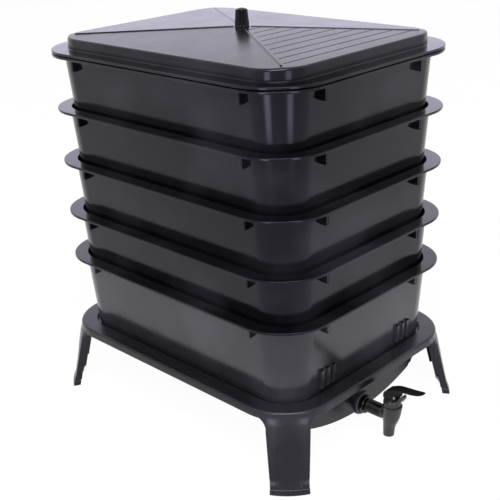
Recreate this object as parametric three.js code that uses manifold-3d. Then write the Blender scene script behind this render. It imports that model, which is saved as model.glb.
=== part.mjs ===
// Wormery: lid, five nesting trays and a base with legs, sump and drain tap.
// Millimetres, +Z up, the tap points along -Y.
// The stack is modelled round X 0 and Y 0, then the whole part moves so that its outline stands over the origin.
import * as THREE from 'three';
import { mergeVertices } from 'three/addons/utils/BufferGeometryUtils.js';
import { ConvexGeometry } from 'three/addons/geometries/ConvexGeometry.js';
import Module from 'manifold-3d';

const wasm = await Module();
wasm.setup();

// Shared fits
const fit = 0.3; // gap between pieces that touch or run in each other
const overrun = 1; // how far a cut or a joined block runs past the face that it meets
const cornerSteps = 6; // straight pieces in one rounded corner
const roundSteps = 24; // straight pieces round a turned part

// Tray, seen from above
const trayPlan = { halfX: 189, halfY: 245, radius: 75 };
const rimThickness = 3.6;
const rimOverhang = 18.2;
const wallThickness = 2.2;
const wallDraft = 0.08; // inward run per unit of height
const wallDepth = 119; // from the underside of the rim to the foot of the wall
const trayFloor = 2.5;

// Stack
const lowestRim = 226; // underside of the rim of the lowest tray
const trayPitch = 79.5;
const lowestTrayDrop = 7.2; // the rests in the lowest tray sit lower by this much
const trayCount = 5;

// Blocks under the rim
const blockReach = 7;
const blockWidth = 4.6;
const blockHeight = 18.5;
const blockOnShortSide = 98.5; // from the middle plane
const blockOnLongSide = 164;

// Guide pads low on the short sides
const padCentre = 86;
const padWidth = 32;
const padHeight = 27;
const padTop = 80.5; // below the underside of the rim
const padPlate = 1.8;
const padReach = 3.2;
const padRibs = 3;
const padRibWidth = 6;
const padRibPitch = 12;

// Rests inside the tray for the tray above
const restOnShortSide = 40;
const restOnLongSide = 95;
const restWidth = 16;
const restHeight = 6;
const restOverlap = 4; // how far a rest reaches under the foot of the tray above

// Drain slots in the tray floor
const slotColumns = 4;
const slotRows = 8;
const slotLength = 58;
const slotWidth = 3.8;
const slotPitchX = 70;
const slotPitchY = 50;

// Lid
const lidGap = 1.6; // between the rim of the top tray and the lid flange
const lidFlange = 3.4;
const lidWallInset = 24;
const lidWallLean = 0.6;
const lidWallTop = 13.6; // above the top of the flange
const lidChamfer = 3.4;
const lidEave = 15.5; // height of the roof planes over the flange, where they reach the eave
const lidApex = 25.5; // height of the roof in the middle
const lidEaveX = 165.5;
const lidEaveY = 236.7; // beyond the short wall, so that the ridges run to the rounded corners
const lidWall = 2.2;
const lipDepth = 8;
const lipClearance = 1;
const nubRadius = 3;
const nubOnShortSide = 110;
const nubOnLongSide = 165;
const grooveCount = 9;
const grooveStart = 25;
const groovePitch = 21.2;
const grooveInset = 6; // from the end of a groove to the ridge
const grooveWidth = 1.6;
const grooveDepth = 0.8;
const ridgeStart = 12.5; // from the middle
const ridgeEndX = 140;
const ridgeHalfWidth = 1.5;
const ridgeCrestHalfWidth = 0.7;
const ridgeHeight = 1.2;

// Knob and its screw
const knobSeatRadius = 11.5;
const knobSeatDrop = 0.9;
const knobBossDepth = 5;
const knobBaseRadius = 10.5;
const knobTopRadius = 8.5;
const knobHeight = 26;
const knobCrown = 3;
const knobFlutes = 12;
const knobFluteRadius = 1.3;
const screwRadius = 2;
const screwBite = 14; // length inside the knob
const screwHeadRadius = 4.5;
const screwHead = 3;
const washerRadius = 7;
const washerThickness = 1.2;

// Base
const basePlan = { halfX: 191, halfY: 247, radius: 77 };
const deckHeight = 113;
const deckThickness = 2.6;
const skirtHeight = 12.5;
const skirtThickness = 2.6;
const skirtRounding = 3.4;
const skirtShoulder = 1.1;
const baseOpening = 24.9; // inset of the opening from the base outline
const openingDraft = 0.4;
const ledgeWidth = 10;
const ledgeThickness = 2.5;

// Sump
const sumpInset = 33;
const sumpWall = 2.5;
const sumpLowest = 37;
const sumpArc = 330; // radius of the rounded bottom
const arcSteps = 80;

// Legs
const legBearing = 43.5; // degrees from the X axis
const legSplay = 0.22; // outward run per unit of height
const legFlushHeight = 111; // height where the leg meets the face of the skirt
const legTopDrop = 3.2; // from the deck to the top of the leg
const legDepth = 8.5;
const legWall = 3;
const legHalfWidthLow = 26.2;
const legHalfWidthHigh = 32;
const legFoot = 2.5;
const coreInset = 3; // the box behind the leg is narrower than the leg by this much on each side
const coreWall = 2.5;
const coreDepth = 15;
const coreStepHeight = 33; // the box is shallower below this height
const coreLowDepth = 11;
const legSteps = 6;
const fluteHalfWidth = 16.5;
const fluteDepth = 1.2;
const fluteLow = 9;
const fluteHigh = 72;
const capHeight = 8.5;
const capSkin = 1.2;
const heelHeight = 20; // the end of the leg is thicker up to this height
const heelSkin = 1;

// Tap
const tapHeight = 46.7;
const bossReach = 0.7; // boss face beyond the sump end wall
const bossRadius = 18.5;
const wellWall = 2.5;
const wellLength = 30;
const bossWall = 3;
const shankRadius = 9.5;
const inletRadius = 5.5;
const outerWasherRadius = 17;
const outerWasherThickness = 2.6;
const innerWasherRadius = 14.5;
const innerWasherThickness = 2;
const nutAcross = 26;
const nutThickness = 8;
const shankSpare = 4;
const collarRadius = 13.5;
const collarLength = 7;
const barrelReach = 54.3; // boss face to barrel axis
const barrelSections = [ // height, radius
  [63.7, 13.9],
  [44.5, 12.4],
  [31.5, 9.5],
  [13, 8],
];
const chamberRadius = 9;
const chamberOffset = 1;
const chamberFloor = 40;
const throatRadius = 4;
const throatLength = 13;
const spoutBore = 5;
const spoutBoreTop = 31;

// Bonnet
const bonnetRadius = 12.6;
const bonnetHeight = 10;
const bonnetPlug = 6;
const bonnetNeckRadius = 8;
const bonnetNeck = 1.6;
const lugHalfWidth = 2.8;
const lugRadius = 3;
const hornHalfWidth = 6;
const hornProfile = [ // distance in front of the pin, height
  [-4, 71],
  [3.5, 71],
  [8.6, 74.6],
  [12.3, 81.5],
  [12.3, 84],
  [11, 85.2],
  [9.2, 85],
  [6.2, 80.5],
  [4.8, 77],
  [3, 75.6],
  [-4, 75.6],
];

// Lever and valve
const pinAhead = 8; // pin in front of the stem axis
const pinHeight = 81.5;
const pinRadius = 1.5;
const pinHalfLength = 8;
const leverHalfWidth = 8;
const leverHub = 4.2;
const noseRadius = 2;
const leverSkin = 2.2;
const leverProfile = [ // distance in front of the pin, height
  [-18.3, 76.5],
  [-18.3, 81.5],
  [-17, 85],
  [-14, 88.3],
  [-9, 90.9],
  [-3, 93.6],
  [5, 96],
  [14, 97.9],
  [26, 99],
  [36, 100.6],
  [45.5, 103.4],
  [46, 102],
  [37, 98.2],
  [27, 96.3],
  [15, 94.4],
  [8, 92.8],
  [5, 90],
  [4.2, 81.5],
  [0, 77.3],
  [-9, 76.5],
];
const leverPlan = [ // distance in front of the pin, half width
  [-18.6, 8],
  [3, 8],
  [12, 6.2],
  [30, 6.2],
  [40, 5.4],
  [44.5, 3.6],
  [46.2, 1.5],
];
const leverRoom = [ // hollow for the head of the stem: distance in front of the pin, height
  [-16.1, 74.5],
  [-16.1, 81.5],
  [-14.9, 84.1],
  [-12.6, 86.7],
  [-8.5, 87.9],
  [-3, 87.9],
  [-3, 81.5],
  [-8, 81.5],
  [-8, 74.5],
];
const stemRadius = 2.5;
const stemHeadRadius = 4;
const stemHead = 2.5;
const stemFoot = 43;
const cupRadius = 7.5;
const cupHeight = 7;

// Finishes
const blackPlastic = { color: '#26262b', roughness: 0.35, metalness: 0 };
const glossPlastic = { color: '#1b1b1f', roughness: 0.15, metalness: 0 };
const greyPlastic = { color: '#3a3a3d', roughness: 0.4, metalness: 0 };
const rubber = { color: '#1c1c1d', roughness: 0.8, metalness: 0 };
const silicone = { color: '#6f7072', roughness: 0.6, metalness: 0 };
const steel = { color: '#b8babd', roughness: 0.3, metalness: 1 };

const wormery = new THREE.Group();
wormery.name = 'wormery';

// Closed solid from a three.js geometry
function solid(geometry) {
  const bare = geometry.clone();
  bare.deleteAttribute('normal');
  bare.deleteAttribute('uv');
  const welded = mergeVertices(bare);
  return new wasm.Manifold(new wasm.Mesh({
    numProp: 3,
    vertProperties: new Float32Array(welded.attributes.position.array),
    triVerts: new Uint32Array(welded.index.array),
  }));
}

// Named mesh in the group
function piece(name, body, finish) {
  const raw = body.getMesh();
  const geometry = new THREE.BufferGeometry();
  geometry.setAttribute('position', new THREE.BufferAttribute(raw.vertProperties, 3));
  geometry.setIndex(new THREE.BufferAttribute(raw.triVerts, 1));
  geometry.computeVertexNormals();
  const mesh = new THREE.Mesh(geometry, new THREE.MeshStandardMaterial(finish));
  mesh.name = name;
  wormery.add(mesh);
}

// Box between two corners
function box(low, high) {
  const size = high.map((value, axis) => value - low[axis]);
  const geometry = new THREE.BoxGeometry(...size);
  geometry.translate(...low.map((value, axis) => value + size[axis] / 2));
  return solid(geometry);
}

// Upright cylinder
function post(radius, low, high, x = 0, y = 0, steps = roundSteps) {
  const geometry = new THREE.CylinderGeometry(radius, radius, high - low, steps);
  geometry.rotateX(Math.PI / 2);
  geometry.translate(x, y, (low + high) / 2);
  return solid(geometry);
}

// Cylinder along Y, from the nearer to the farther end
function rodY(radius, low, high, z, steps = roundSteps) {
  const geometry = new THREE.CylinderGeometry(radius, radius, high - low, steps);
  geometry.translate(0, (low + high) / 2, z);
  return solid(geometry);
}

// Cylinder along X, centred on the middle plane
function rodX(radius, halfLength, y, z) {
  const geometry = new THREE.CylinderGeometry(radius, radius, halfLength * 2, roundSteps);
  geometry.rotateZ(Math.PI / 2);
  geometry.translate(0, y, z);
  return solid(geometry);
}

// Points of one level of a rounded rectangle, moved inward by the inset
function level(plan, inset, z) {
  const points = [];
  const signs = [[1, 1], [-1, 1], [-1, -1], [1, -1]];
  signs.forEach(([signX, signY], corner) => {
    for (let step = 0; step <= cornerSteps; step += 1) {
      const angle = (corner + step / cornerSteps) * Math.PI / 2;
      const reach = plan.radius - inset;
      points.push([
        signX * (plan.halfX - plan.radius) + reach * Math.cos(angle),
        signY * (plan.halfY - plan.radius) + reach * Math.sin(angle),
        z,
      ]);
    }
  });
  return points;
}

// Solid from rings of points, closed by flat ends or joined end to start
function loft(rings, joined = false) {
  const count = rings[0].length;
  const positions = rings.flat(2);
  const faces = [];
  const bands = joined ? rings.length : rings.length - 1;
  for (let band = 0; band < bands; band += 1) {
    const here = band * count;
    const next = ((band + 1) % rings.length) * count;
    for (let step = 0; step < count; step += 1) {
      const side = (step + 1) % count;
      faces.push(here + step, here + side, next + step);
      faces.push(here + side, next + side, next + step);
    }
  }
  if (!joined) {
    for (const [index, turned] of [[0, true], [rings.length - 1, false]]) {
      const middle = [0, 1, 2].map((axis) => rings[index]
        .reduce((sum, point) => sum + point[axis], 0) / count);
      const hub = positions.length / 3;
      positions.push(...middle);
      for (let step = 0; step < count; step += 1) {
        const here = index * count + step;
        const side = index * count + (step + 1) % count;
        faces.push(...(turned ? [hub, side, here] : [hub, here, side]));
      }
    }
  }
  const geometry = new THREE.BufferGeometry();
  geometry.setAttribute('position', new THREE.Float32BufferAttribute(positions, 3));
  geometry.setIndex(faces);
  return solid(geometry);
}

// Solid swept round a rounded rectangle from inset and height pairs
function sweep(plan, profile, joined = false) {
  return loft(profile.map(([inset, z]) => level(plan, inset, z)), joined);
}

// Plate cut from a side view of Y and Z pairs, as wide as twice the half width
function sideCut(outline, halfWidth) {
  const shape = new THREE.Shape(outline.map(([y, z]) => new THREE.Vector2(y, z)));
  const geometry = new THREE.ExtrudeGeometry(shape, { depth: halfWidth * 2, bevelEnabled: false });
  geometry.translate(0, 0, -halfWidth);
  geometry.applyMatrix4(new THREE.Matrix4().set(0, 0, 1, 0, 1, 0, 0, 0, 0, 1, 0, 0, 0, 0, 0, 1));
  return solid(geometry);
}

// Both signs of two directions
function fourWays(place) {
  for (const signX of [-1, 1]) {
    for (const signY of [-1, 1]) {
      place(signX, signY);
    }
  }
}

// Block on a wall: on the short side when the side is y, on the long side when it is x
function wallBlock(side, sign, centre, width, inner, outerLow, outerHigh, low, high) {
  const half = side === 'y' ? trayPlan.halfY : trayPlan.halfX;
  const points = [];
  for (const along of [centre - width / 2, centre + width / 2]) {
    for (const [inset, z] of [[inner, low], [inner, high], [outerLow, low], [outerHigh, high]]) {
      const across = sign * (half - inset);
      points.push(side === 'y' ? new THREE.Vector3(along, across, z) : new THREE.Vector3(across, along, z));
    }
  }
  return solid(new ConvexGeometry(points));
}

// Inset of the outer wall face at a depth under the rim
function wallInset(depth) {
  return rimOverhang + wallDraft * depth;
}

// Tray with its blocks, pads, rests and floor slots
function tray(rimLow, restTop) {
  const foot = rimLow - wallDepth;
  const floorTop = foot + trayFloor;
  let body = sweep(trayPlan, [
    [wallInset(wallDepth), foot],
    [wallInset(0), rimLow],
    [0, rimLow],
    [0, rimLow + rimThickness],
    [wallInset(-rimThickness) + wallThickness, rimLow + rimThickness],
    [wallInset(wallDepth - trayFloor) + wallThickness, floorTop],
  ]);
  const blockRoot = wallInset(blockHeight) + wallThickness / 2;
  const blockFace = rimOverhang - blockReach;
  const block = [blockRoot, blockFace, blockFace, rimLow - blockHeight, rimLow + rimThickness / 2];
  const padFoot = padTop + padHeight;
  const padRoot = wallInset(padTop) + wallThickness / 2;
  const padSpan = [rimLow - padFoot, rimLow - padTop];
  const restDepth = rimLow - restTop;
  const restRoot = wallInset(restDepth) + wallThickness / 2;
  const restTip = wallInset(wallDepth) + restOverlap;
  const rest = [restRoot, restTip, restTip, restTop - restHeight, restTop];
  fourWays((signX, signY) => {
    body = body.add(wallBlock('y', signY, signX * blockOnShortSide, blockWidth, ...block));
    body = body.add(wallBlock('x', signX, signY * blockOnLongSide, blockWidth, ...block));
    body = body.add(wallBlock('y', signY, signX * padCentre, padWidth, padRoot,
      wallInset(padFoot) - padPlate, wallInset(padTop) - padPlate, ...padSpan));
    for (let rib = 0; rib < padRibs; rib += 1) {
      const shift = (rib - (padRibs - 1) / 2) * padRibPitch;
      body = body.add(wallBlock('y', signY, signX * padCentre + shift, padRibWidth, padRoot,
        wallInset(padFoot) - padReach, wallInset(padTop) - padReach, ...padSpan));
    }
    body = body.add(wallBlock('y', signY, signX * restOnShortSide, restWidth, ...rest));
    body = body.add(wallBlock('x', signX, signY * restOnLongSide, restWidth, ...rest));
  });
  for (let column = 0; column < slotColumns; column += 1) {
    const x = (column - (slotColumns - 1) / 2) * slotPitchX;
    for (let row = 0; row < slotRows; row += 1) {
      const y = (row - (slotRows - 1) / 2) * slotPitchY;
      body = body.subtract(box(
        [x - slotLength / 2, y - slotWidth / 2, foot - overrun],
        [x + slotLength / 2, y + slotWidth / 2, floorTop + overrun],
      ));
    }
  }
  return body;
}

// Heights of the tray rims, top tray first
const rimLevels = [];
for (let count = 0; count < trayCount; count += 1) {
  const fromLowest = trayCount - 1 - count;
  const drop = fromLowest > 0 ? lowestTrayDrop : 0;
  rimLevels.push(lowestRim + fromLowest * trayPitch - drop);
}

// Trays
rimLevels.forEach((rimLow, index) => {
  const isLowest = index === trayCount - 1;
  const restDepth = wallDepth - trayPitch + (isLowest ? lowestTrayDrop : 0) + fit;
  piece(`tray_${index + 1}`, tray(rimLow, rimLow - restDepth), blackPlastic);
});

// Roof of the lid: a low four-sided pyramid that runs out past the walls
function roof(apex, eave, low) {
  const spread = 2;
  const points = [new THREE.Vector3(0, 0, apex)];
  fourWays((signX, signY) => {
    const x = signX * lidEaveX * spread;
    const y = signY * lidEaveY * spread;
    points.push(new THREE.Vector3(x, y, apex - (apex - eave) * spread));
    points.push(new THREE.Vector3(x, y, low));
  });
  return solid(new ConvexGeometry(points));
}

// Lid
const lidLow = rimLevels[0] + rimThickness + lidGap;
const lidFlangeTop = lidLow + lidFlange;
const apexHeight = lidFlangeTop + lidApex;
const eaveHeight = lidFlangeTop + lidEave;
const seatHeight = apexHeight - knobSeatDrop;
const bossLow = seatHeight - knobBossDepth;
const screwHole = screwRadius + fit;

let lid = sweep(trayPlan, [
  [lidWallInset, lidLow],
  [lidWallInset + lidWallLean, lidFlangeTop + lidWallTop],
  [lidWallInset + lidWallLean + lidChamfer, lidFlangeTop + lidWallTop + lidChamfer],
  [lidWallInset + lidWallLean + lidChamfer * 2, apexHeight + overrun],
]);
lid = lid.intersect(roof(apexHeight, eaveHeight, lidLow - overrun));
lid = lid.add(sweep(trayPlan, [[0, lidLow], [0, lidFlangeTop]]));
const mouthInset = wallInset(-rimThickness) + wallThickness;
lid = lid.add(sweep(trayPlan, [
  [mouthInset + lipClearance, lidLow - lipDepth],
  [mouthInset + lipClearance, lidLow + lidFlange / 2],
]));
const hollow = sweep(trayPlan, [
  [lidWallInset + lidWall, lidLow - lipDepth - overrun],
  [lidWallInset + lidWallLean + lidWall, lidFlangeTop + lidWallTop - lidWall],
  [lidWallInset + lidWallLean + lidWall + lidChamfer, lidFlangeTop + lidWallTop + lidChamfer - lidWall],
  [lidWallInset + lidWallLean + lidWall + lidChamfer * 2, apexHeight + overrun],
]).intersect(roof(apexHeight - lidWall, eaveHeight - lidWall, lidLow - lipDepth - overrun * 2));
lid = lid.subtract(hollow);
fourWays((signX, signY) => {
  const edge = mouthInset / 2;
  const spots = [
    [signX * nubOnShortSide, signY * (trayPlan.halfY - edge)],
    [signX * (trayPlan.halfX - edge), signY * nubOnLongSide],
  ];
  for (const [x, y] of spots) {
    lid = lid.add(post(nubRadius, lidLow - lidGap + fit, lidLow + lidFlange / 2, x, y, 10));
  }
});
for (let index = 0; index < grooveCount; index += 1) {
  const y = grooveStart + index * groovePitch;
  const half = lidEaveX * y / lidEaveY - grooveInset;
  const surface = apexHeight - (apexHeight - eaveHeight) * y / lidEaveY;
  lid = lid.subtract(box(
    [-half, -y - grooveWidth / 2, surface - grooveDepth],
    [half, -y + grooveWidth / 2, apexHeight],
  ));
}
fourWays((signX, signY) => {
  const length = Math.hypot(lidEaveX, lidEaveY);
  const along = [signX * lidEaveX / length, signY * lidEaveY / length];
  const points = [];
  for (const run of [ridgeStart, ridgeEndX * length / lidEaveX]) {
    const crest = apexHeight - (apexHeight - eaveHeight) * run / length;
    for (const [half, z] of [[ridgeHalfWidth, crest - ridgeHeight], [ridgeCrestHalfWidth, crest + ridgeHeight]]) {
      for (const side of [-half, half]) {
        points.push(new THREE.Vector3(along[0] * run - along[1] * side, along[1] * run + along[0] * side, z));
      }
    }
  }
  lid = lid.add(solid(new ConvexGeometry(points)));
});
lid = lid.add(post(knobSeatRadius, bossLow, apexHeight));
lid = lid.subtract(post(knobSeatRadius + overrun, seatHeight, apexHeight + overrun));
lid = lid.subtract(post(screwHole, bossLow - overrun, apexHeight + overrun));
piece('lid', lid, blackPlastic);

// Knob
const knobLow = seatHeight + fit;
const knobTop = knobLow + knobHeight;
const knobProfile = [
  new THREE.Vector2(0, knobLow),
  new THREE.Vector2(knobBaseRadius, knobLow),
  new THREE.Vector2(knobTopRadius, knobTop - knobCrown),
  new THREE.Vector2(knobTopRadius - knobCrown, knobTop - knobCrown / 4),
  new THREE.Vector2(0, knobTop),
];
const knobTurned = new THREE.LatheGeometry(knobProfile, roundSteps);
knobTurned.rotateX(Math.PI / 2);
let knob = solid(knobTurned);
for (let index = 0; index < knobFlutes; index += 1) {
  const angle = (index / knobFlutes) * Math.PI * 2;
  const flute = new THREE.CylinderGeometry(knobFluteRadius, knobFluteRadius, knobHeight + overrun * 2, 6);
  flute.rotateX(Math.PI / 2);
  flute.rotateY(Math.atan2(knobTopRadius - knobBaseRadius, knobHeight));
  flute.translate((knobBaseRadius + knobTopRadius) / 2, 0, (knobLow + knobTop) / 2);
  flute.rotateZ(angle);
  knob = knob.subtract(solid(flute));
}
knob = knob.subtract(post(screwHole, knobLow - overrun, knobLow + screwBite + fit));
piece('lid_knob', knob, glossPlastic);

// Washer and screw under the knob
const washerTop = bossLow - fit;
const washerLow = washerTop - washerThickness;
piece('knob_washer', post(washerRadius, washerLow, washerTop)
  .subtract(post(screwHole, washerLow - overrun, washerTop + overrun)), steel);
const headTop = washerLow - fit;
piece('knob_screw', post(screwHeadRadius, headTop - screwHead, headTop)
  .add(post(screwRadius, headTop - overrun, knobLow + screwBite)), steel);

// Base: flange, skirt, opening and ledge
const deckUnder = deckHeight - deckThickness;
const ledgeTop = lowestRim - wallDepth - fit;
const openingFoot = baseOpening + openingDraft;
let base = sweep(basePlan, [
  [0, deckHeight - skirtHeight],
  [0, deckHeight - skirtRounding],
  [skirtShoulder, deckHeight - skirtShoulder],
  [skirtRounding, deckHeight],
  [baseOpening, deckHeight],
  [openingFoot, ledgeTop],
  [openingFoot + ledgeWidth, ledgeTop],
  [openingFoot + ledgeWidth, ledgeTop - ledgeThickness],
  [baseOpening - sumpWall, ledgeTop - ledgeThickness],
  [baseOpening - sumpWall, deckUnder],
  [skirtThickness, deckUnder],
  [skirtThickness, deckHeight - skirtHeight],
], true);

// Rounded trough that closes the sump from below
function trough(radius) {
  const centre = sumpLowest + sumpArc;
  const geometry = new THREE.CylinderGeometry(radius, radius, basePlan.halfY * 2, arcSteps);
  geometry.translate(0, 0, centre);
  return solid(geometry);
}
const sumpTop = ledgeTop - ledgeThickness / 2;
const sumpOuter = sweep(basePlan, [[sumpInset, 0], [sumpInset, sumpTop]]).intersect(trough(sumpArc));
const sumpInner = sweep(basePlan, [
  [sumpInset + sumpWall, 0],
  [sumpInset + sumpWall, ledgeTop + overrun],
]).intersect(trough(sumpArc - sumpWall));
const sumpEnd = -(basePlan.halfY - sumpInset);
const bossFace = sumpEnd - bossReach;
const wellEnd = bossFace + wellLength;
const wellBody = rodY(bossRadius, bossFace, wellEnd, tapHeight);
const wellRoom = rodY(bossRadius - wellWall, bossFace + bossWall, wellEnd - wellWall, tapHeight);
base = base.add(sumpOuter).add(wellBody).subtract(sumpInner).subtract(wellRoom);
base = base.subtract(rodY(shankRadius + fit, bossFace - overrun, bossFace + bossWall + overrun, tapHeight));

// Block that follows the splay of a leg, between two radii from the corner centre
function legBlock(outerOffset, innerOffset, halfLow, halfHigh) {
  const rings = [0, deckHeight].map((z, end) => {
    const face = basePlan.radius + legSplay * (legFlushHeight - z);
    const half = (end === 0 ? halfLow : halfHigh) / face;
    const points = [];
    for (let step = 0; step <= legSteps; step += 1) {
      const angle = -half + 2 * half * step / legSteps;
      points.push([(face + outerOffset) * Math.cos(angle), (face + outerOffset) * Math.sin(angle), z]);
    }
    for (let step = legSteps; step >= 0; step -= 1) {
      const angle = -half + 2 * half * step / legSteps;
      points.push([(face + innerOffset) * Math.cos(angle), (face + innerOffset) * Math.sin(angle), z]);
    }
    return points;
  });
  return loft(rings);
}

// Channel shape of a leg, grown on every side by the given amount
function legChannel(grow) {
  return legBlock(grow, -legDepth - grow, legHalfWidthLow + grow, legHalfWidthHigh + grow)
    .subtract(legBlock(-legWall - grow, -legDepth - overrun - grow,
      legHalfWidthLow - legWall - grow, legHalfWidthHigh - legWall - grow));
}

// Hollow box behind the leg
function legCore(depth) {
  const halfLow = legHalfWidthLow - coreInset;
  const halfHigh = legHalfWidthHigh - coreInset;
  return legBlock(-legWall / 2, -depth, halfLow, halfHigh)
    .subtract(legBlock(-legWall, -depth - overrun, halfLow - coreWall, halfHigh - coreWall));
}

// Keeps what lies between two heights
function between(body, low, high) {
  const reach = basePlan.halfY * 2;
  return body.intersect(box([-reach, -reach, low], [reach, reach, high]));
}

// Turns a leg shape to its bearing, moves it to a corner and mirrors it
function toCorner(body, signX, signY) {
  return body.rotate([0, 0, legBearing])
    .translate([basePlan.halfX - basePlan.radius, basePlan.halfY - basePlan.radius, 0])
    .scale([signX, signY, 1]);
}

const legTop = deckHeight - legTopDrop;
const heelLow = capHeight + fit;
const flute = between(
  legBlock(overrun * 2, -fluteDepth, fluteHalfWidth, fluteHalfWidth),
  fluteLow,
  fluteHigh,
);
const heel = legBlock(heelSkin, -legWall / 2, legHalfWidthLow + heelSkin, legHalfWidthHigh + heelSkin);
const leg = between(legChannel(0), legFoot, legTop)
  .add(between(legCore(coreDepth), coreStepHeight, legTop))
  .add(between(legCore(coreLowDepth), heelLow, coreStepHeight + overrun))
  .add(between(heel, heelLow, heelHeight))
  .subtract(flute);
const cap = between(
  legBlock(fit + capSkin, -legDepth - fit - capSkin,
    legHalfWidthLow + fit + capSkin, legHalfWidthHigh + fit + capSkin),
  0,
  capHeight,
).subtract(between(legChannel(fit), legFoot - fit, capHeight + overrun));
const cornerNames = {
  '-1,-1': 'front_left',
  '1,-1': 'front_right',
  '-1,1': 'back_left',
  '1,1': 'back_right',
};
fourWays((signX, signY) => {
  base = base.add(toCorner(leg, signX, signY));
  const name = cornerNames[`${signX},${signY}`];
  piece(`foot_cap_${name}`, toCorner(cap, signX, signY), rubber);
});
piece('base_stand', base, blackPlastic);

// Tap: washers, nut and body
const outerWasherOut = bossFace - fit - outerWasherThickness;
piece('tap_outer_washer', rodY(outerWasherRadius, outerWasherOut, bossFace - fit, tapHeight)
  .subtract(rodY(shankRadius + fit, outerWasherOut - overrun, bossFace + overrun, tapHeight)), rubber);
const innerWasherOut = bossFace + bossWall + fit;
const innerWasherIn = innerWasherOut + innerWasherThickness;
piece('tap_inner_washer', rodY(innerWasherRadius, innerWasherOut, innerWasherIn, tapHeight)
  .subtract(rodY(shankRadius + fit, innerWasherOut - overrun, innerWasherIn + overrun, tapHeight)), rubber);
const nutOut = innerWasherIn + fit;
const nutIn = nutOut + nutThickness;
const nutCorner = nutAcross / 2 / Math.cos(Math.PI / 6);
piece('tap_nut', rodY(nutCorner, nutOut, nutIn, tapHeight, 6)
  .subtract(rodY(shankRadius + fit, nutOut - overrun, nutIn + overrun, tapHeight)), greyPlastic);

const barrelY = bossFace - barrelReach;
const shankIn = nutIn + shankSpare;
const barrelTop = barrelSections[0][0];
const barrelRadius = barrelSections[0][1];
const spoutTip = barrelSections[barrelSections.length - 1];
const spoutY = barrelY + barrelRadius - spoutTip[1];
const chamberY = barrelY + chamberOffset;
const barrel = loft([...barrelSections].reverse().map(([z, radius]) => {
  const points = [];
  for (let step = 0; step < roundSteps; step += 1) {
    const angle = (step / roundSteps) * Math.PI * 2;
    points.push([radius * Math.cos(angle), barrelY + barrelRadius - radius + radius * Math.sin(angle), z]);
  }
  return points;
}));
const collarOut = outerWasherOut - fit - collarLength;
const tapBody = barrel
  .add(rodY(shankRadius, chamberY, shankIn, tapHeight))
  .add(rodY(collarRadius, collarOut, outerWasherOut - fit, tapHeight))
  .subtract(rodY(inletRadius, chamberY, shankIn + overrun, tapHeight))
  .subtract(post(chamberRadius, chamberFloor, barrelTop + overrun, 0, chamberY))
  .subtract(post(throatRadius, chamberFloor - throatLength, chamberFloor + overrun, 0, chamberY))
  .subtract(post(spoutBore, spoutTip[0] - overrun, spoutBoreTop, 0, spoutY));
piece('tap_body', tapBody, greyPlastic);

// Bonnet with the neck that guides the stem, the lug for the pin and the finger rest
const bonnetLow = barrelTop + fit;
const bonnetTop = bonnetLow + bonnetHeight;
const neckTop = bonnetTop + bonnetNeck;
const pinY = chamberY - pinAhead;
const lug = rodX(lugRadius, lugHalfWidth, pinY, pinHeight).add(box(
  [-lugHalfWidth, pinY - lugRadius, neckTop - overrun],
  [lugHalfWidth, pinY + lugRadius, pinHeight],
));
const horn = sideCut(hornProfile.map(([ahead, z]) => [pinY - ahead, z]), hornHalfWidth);
const bonnet = post(bonnetRadius, bonnetLow, bonnetTop, 0, chamberY)
  .add(post(chamberRadius - fit, bonnetLow - bonnetPlug, bonnetLow + overrun, 0, chamberY))
  .add(post(bonnetNeckRadius, bonnetTop - overrun, neckTop, 0, chamberY))
  .add(horn)
  .add(lug)
  .subtract(post(stemRadius + fit, bonnetLow - bonnetPlug - overrun, pinHeight, 0, chamberY))
  .subtract(rodX(pinRadius + fit, pinHalfLength, pinY, pinHeight));
piece('tap_bonnet', bonnet, greyPlastic);

// Lever: cover, paddle and the two noses that lift the stem head
const headLow = pinHeight + noseRadius + fit;
const headHigh = headLow + stemHead;
const cheekIn = lugHalfWidth + fit;
const inside = leverHalfWidth - leverSkin;
const insideBack = pinY - leverRoom[0][0];
const leverRight = leverPlan.map(([ahead, half]) => new THREE.Vector2(half, pinY - ahead));
const leverLeft = leverPlan.map(([ahead, half]) => new THREE.Vector2(-half, pinY - ahead)).reverse();
const leverAbove = new THREE.ExtrudeGeometry(new THREE.Shape([...leverRight, ...leverLeft]), {
  depth: pinHeight * 2,
  bevelEnabled: false,
});
let lever = sideCut(leverProfile.map(([ahead, z]) => [pinY - ahead, z]), leverHalfWidth)
  .intersect(solid(leverAbove));
lever = lever.add(rodX(leverHub, leverHalfWidth, pinY, pinHeight));
lever = lever.subtract(sideCut(leverRoom.map(([ahead, z]) => [pinY - ahead, z]), inside));
lever = lever.add(rodX(noseRadius, inside + leverSkin / 2, chamberY, pinHeight));
lever = lever.subtract(box(
  [-cheekIn, pinY - leverHub - fit, 0],
  [cheekIn, insideBack, pinHeight + leverHub + fit],
));
lever = lever.subtract(rodX(pinRadius + fit, leverHalfWidth + overrun, pinY, pinHeight));
piece('tap_lever', lever, greyPlastic);
piece('lever_pin', rodX(pinRadius, pinHalfLength, pinY, pinHeight), steel);

// Valve stem and its seat cup
const cupLow = chamberFloor + fit;
const stem = post(stemRadius, stemFoot, headLow + overrun, 0, chamberY)
  .add(post(stemHeadRadius, headLow, headHigh, 0, chamberY));
piece('valve_stem', stem, greyPlastic);
const cup = post(cupRadius, cupLow, cupLow + cupHeight, 0, chamberY)
  .subtract(post(stemRadius + fit, stemFoot - fit, cupLow + cupHeight + overrun, 0, chamberY));
piece('valve_seat_cup', cup, silicone);

// The middle of the whole outline, at the floor, becomes the origin
const outline = new THREE.Box3().setFromObject(wormery);
const middle = outline.getCenter(new THREE.Vector3());
wormery.position.set(-middle.x, -middle.y, -outline.min.z);

export default wormery;
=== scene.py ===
"""Wormery in moulded black plastic: lid, five nesting trays and a legged base with a drain tap."""

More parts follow.
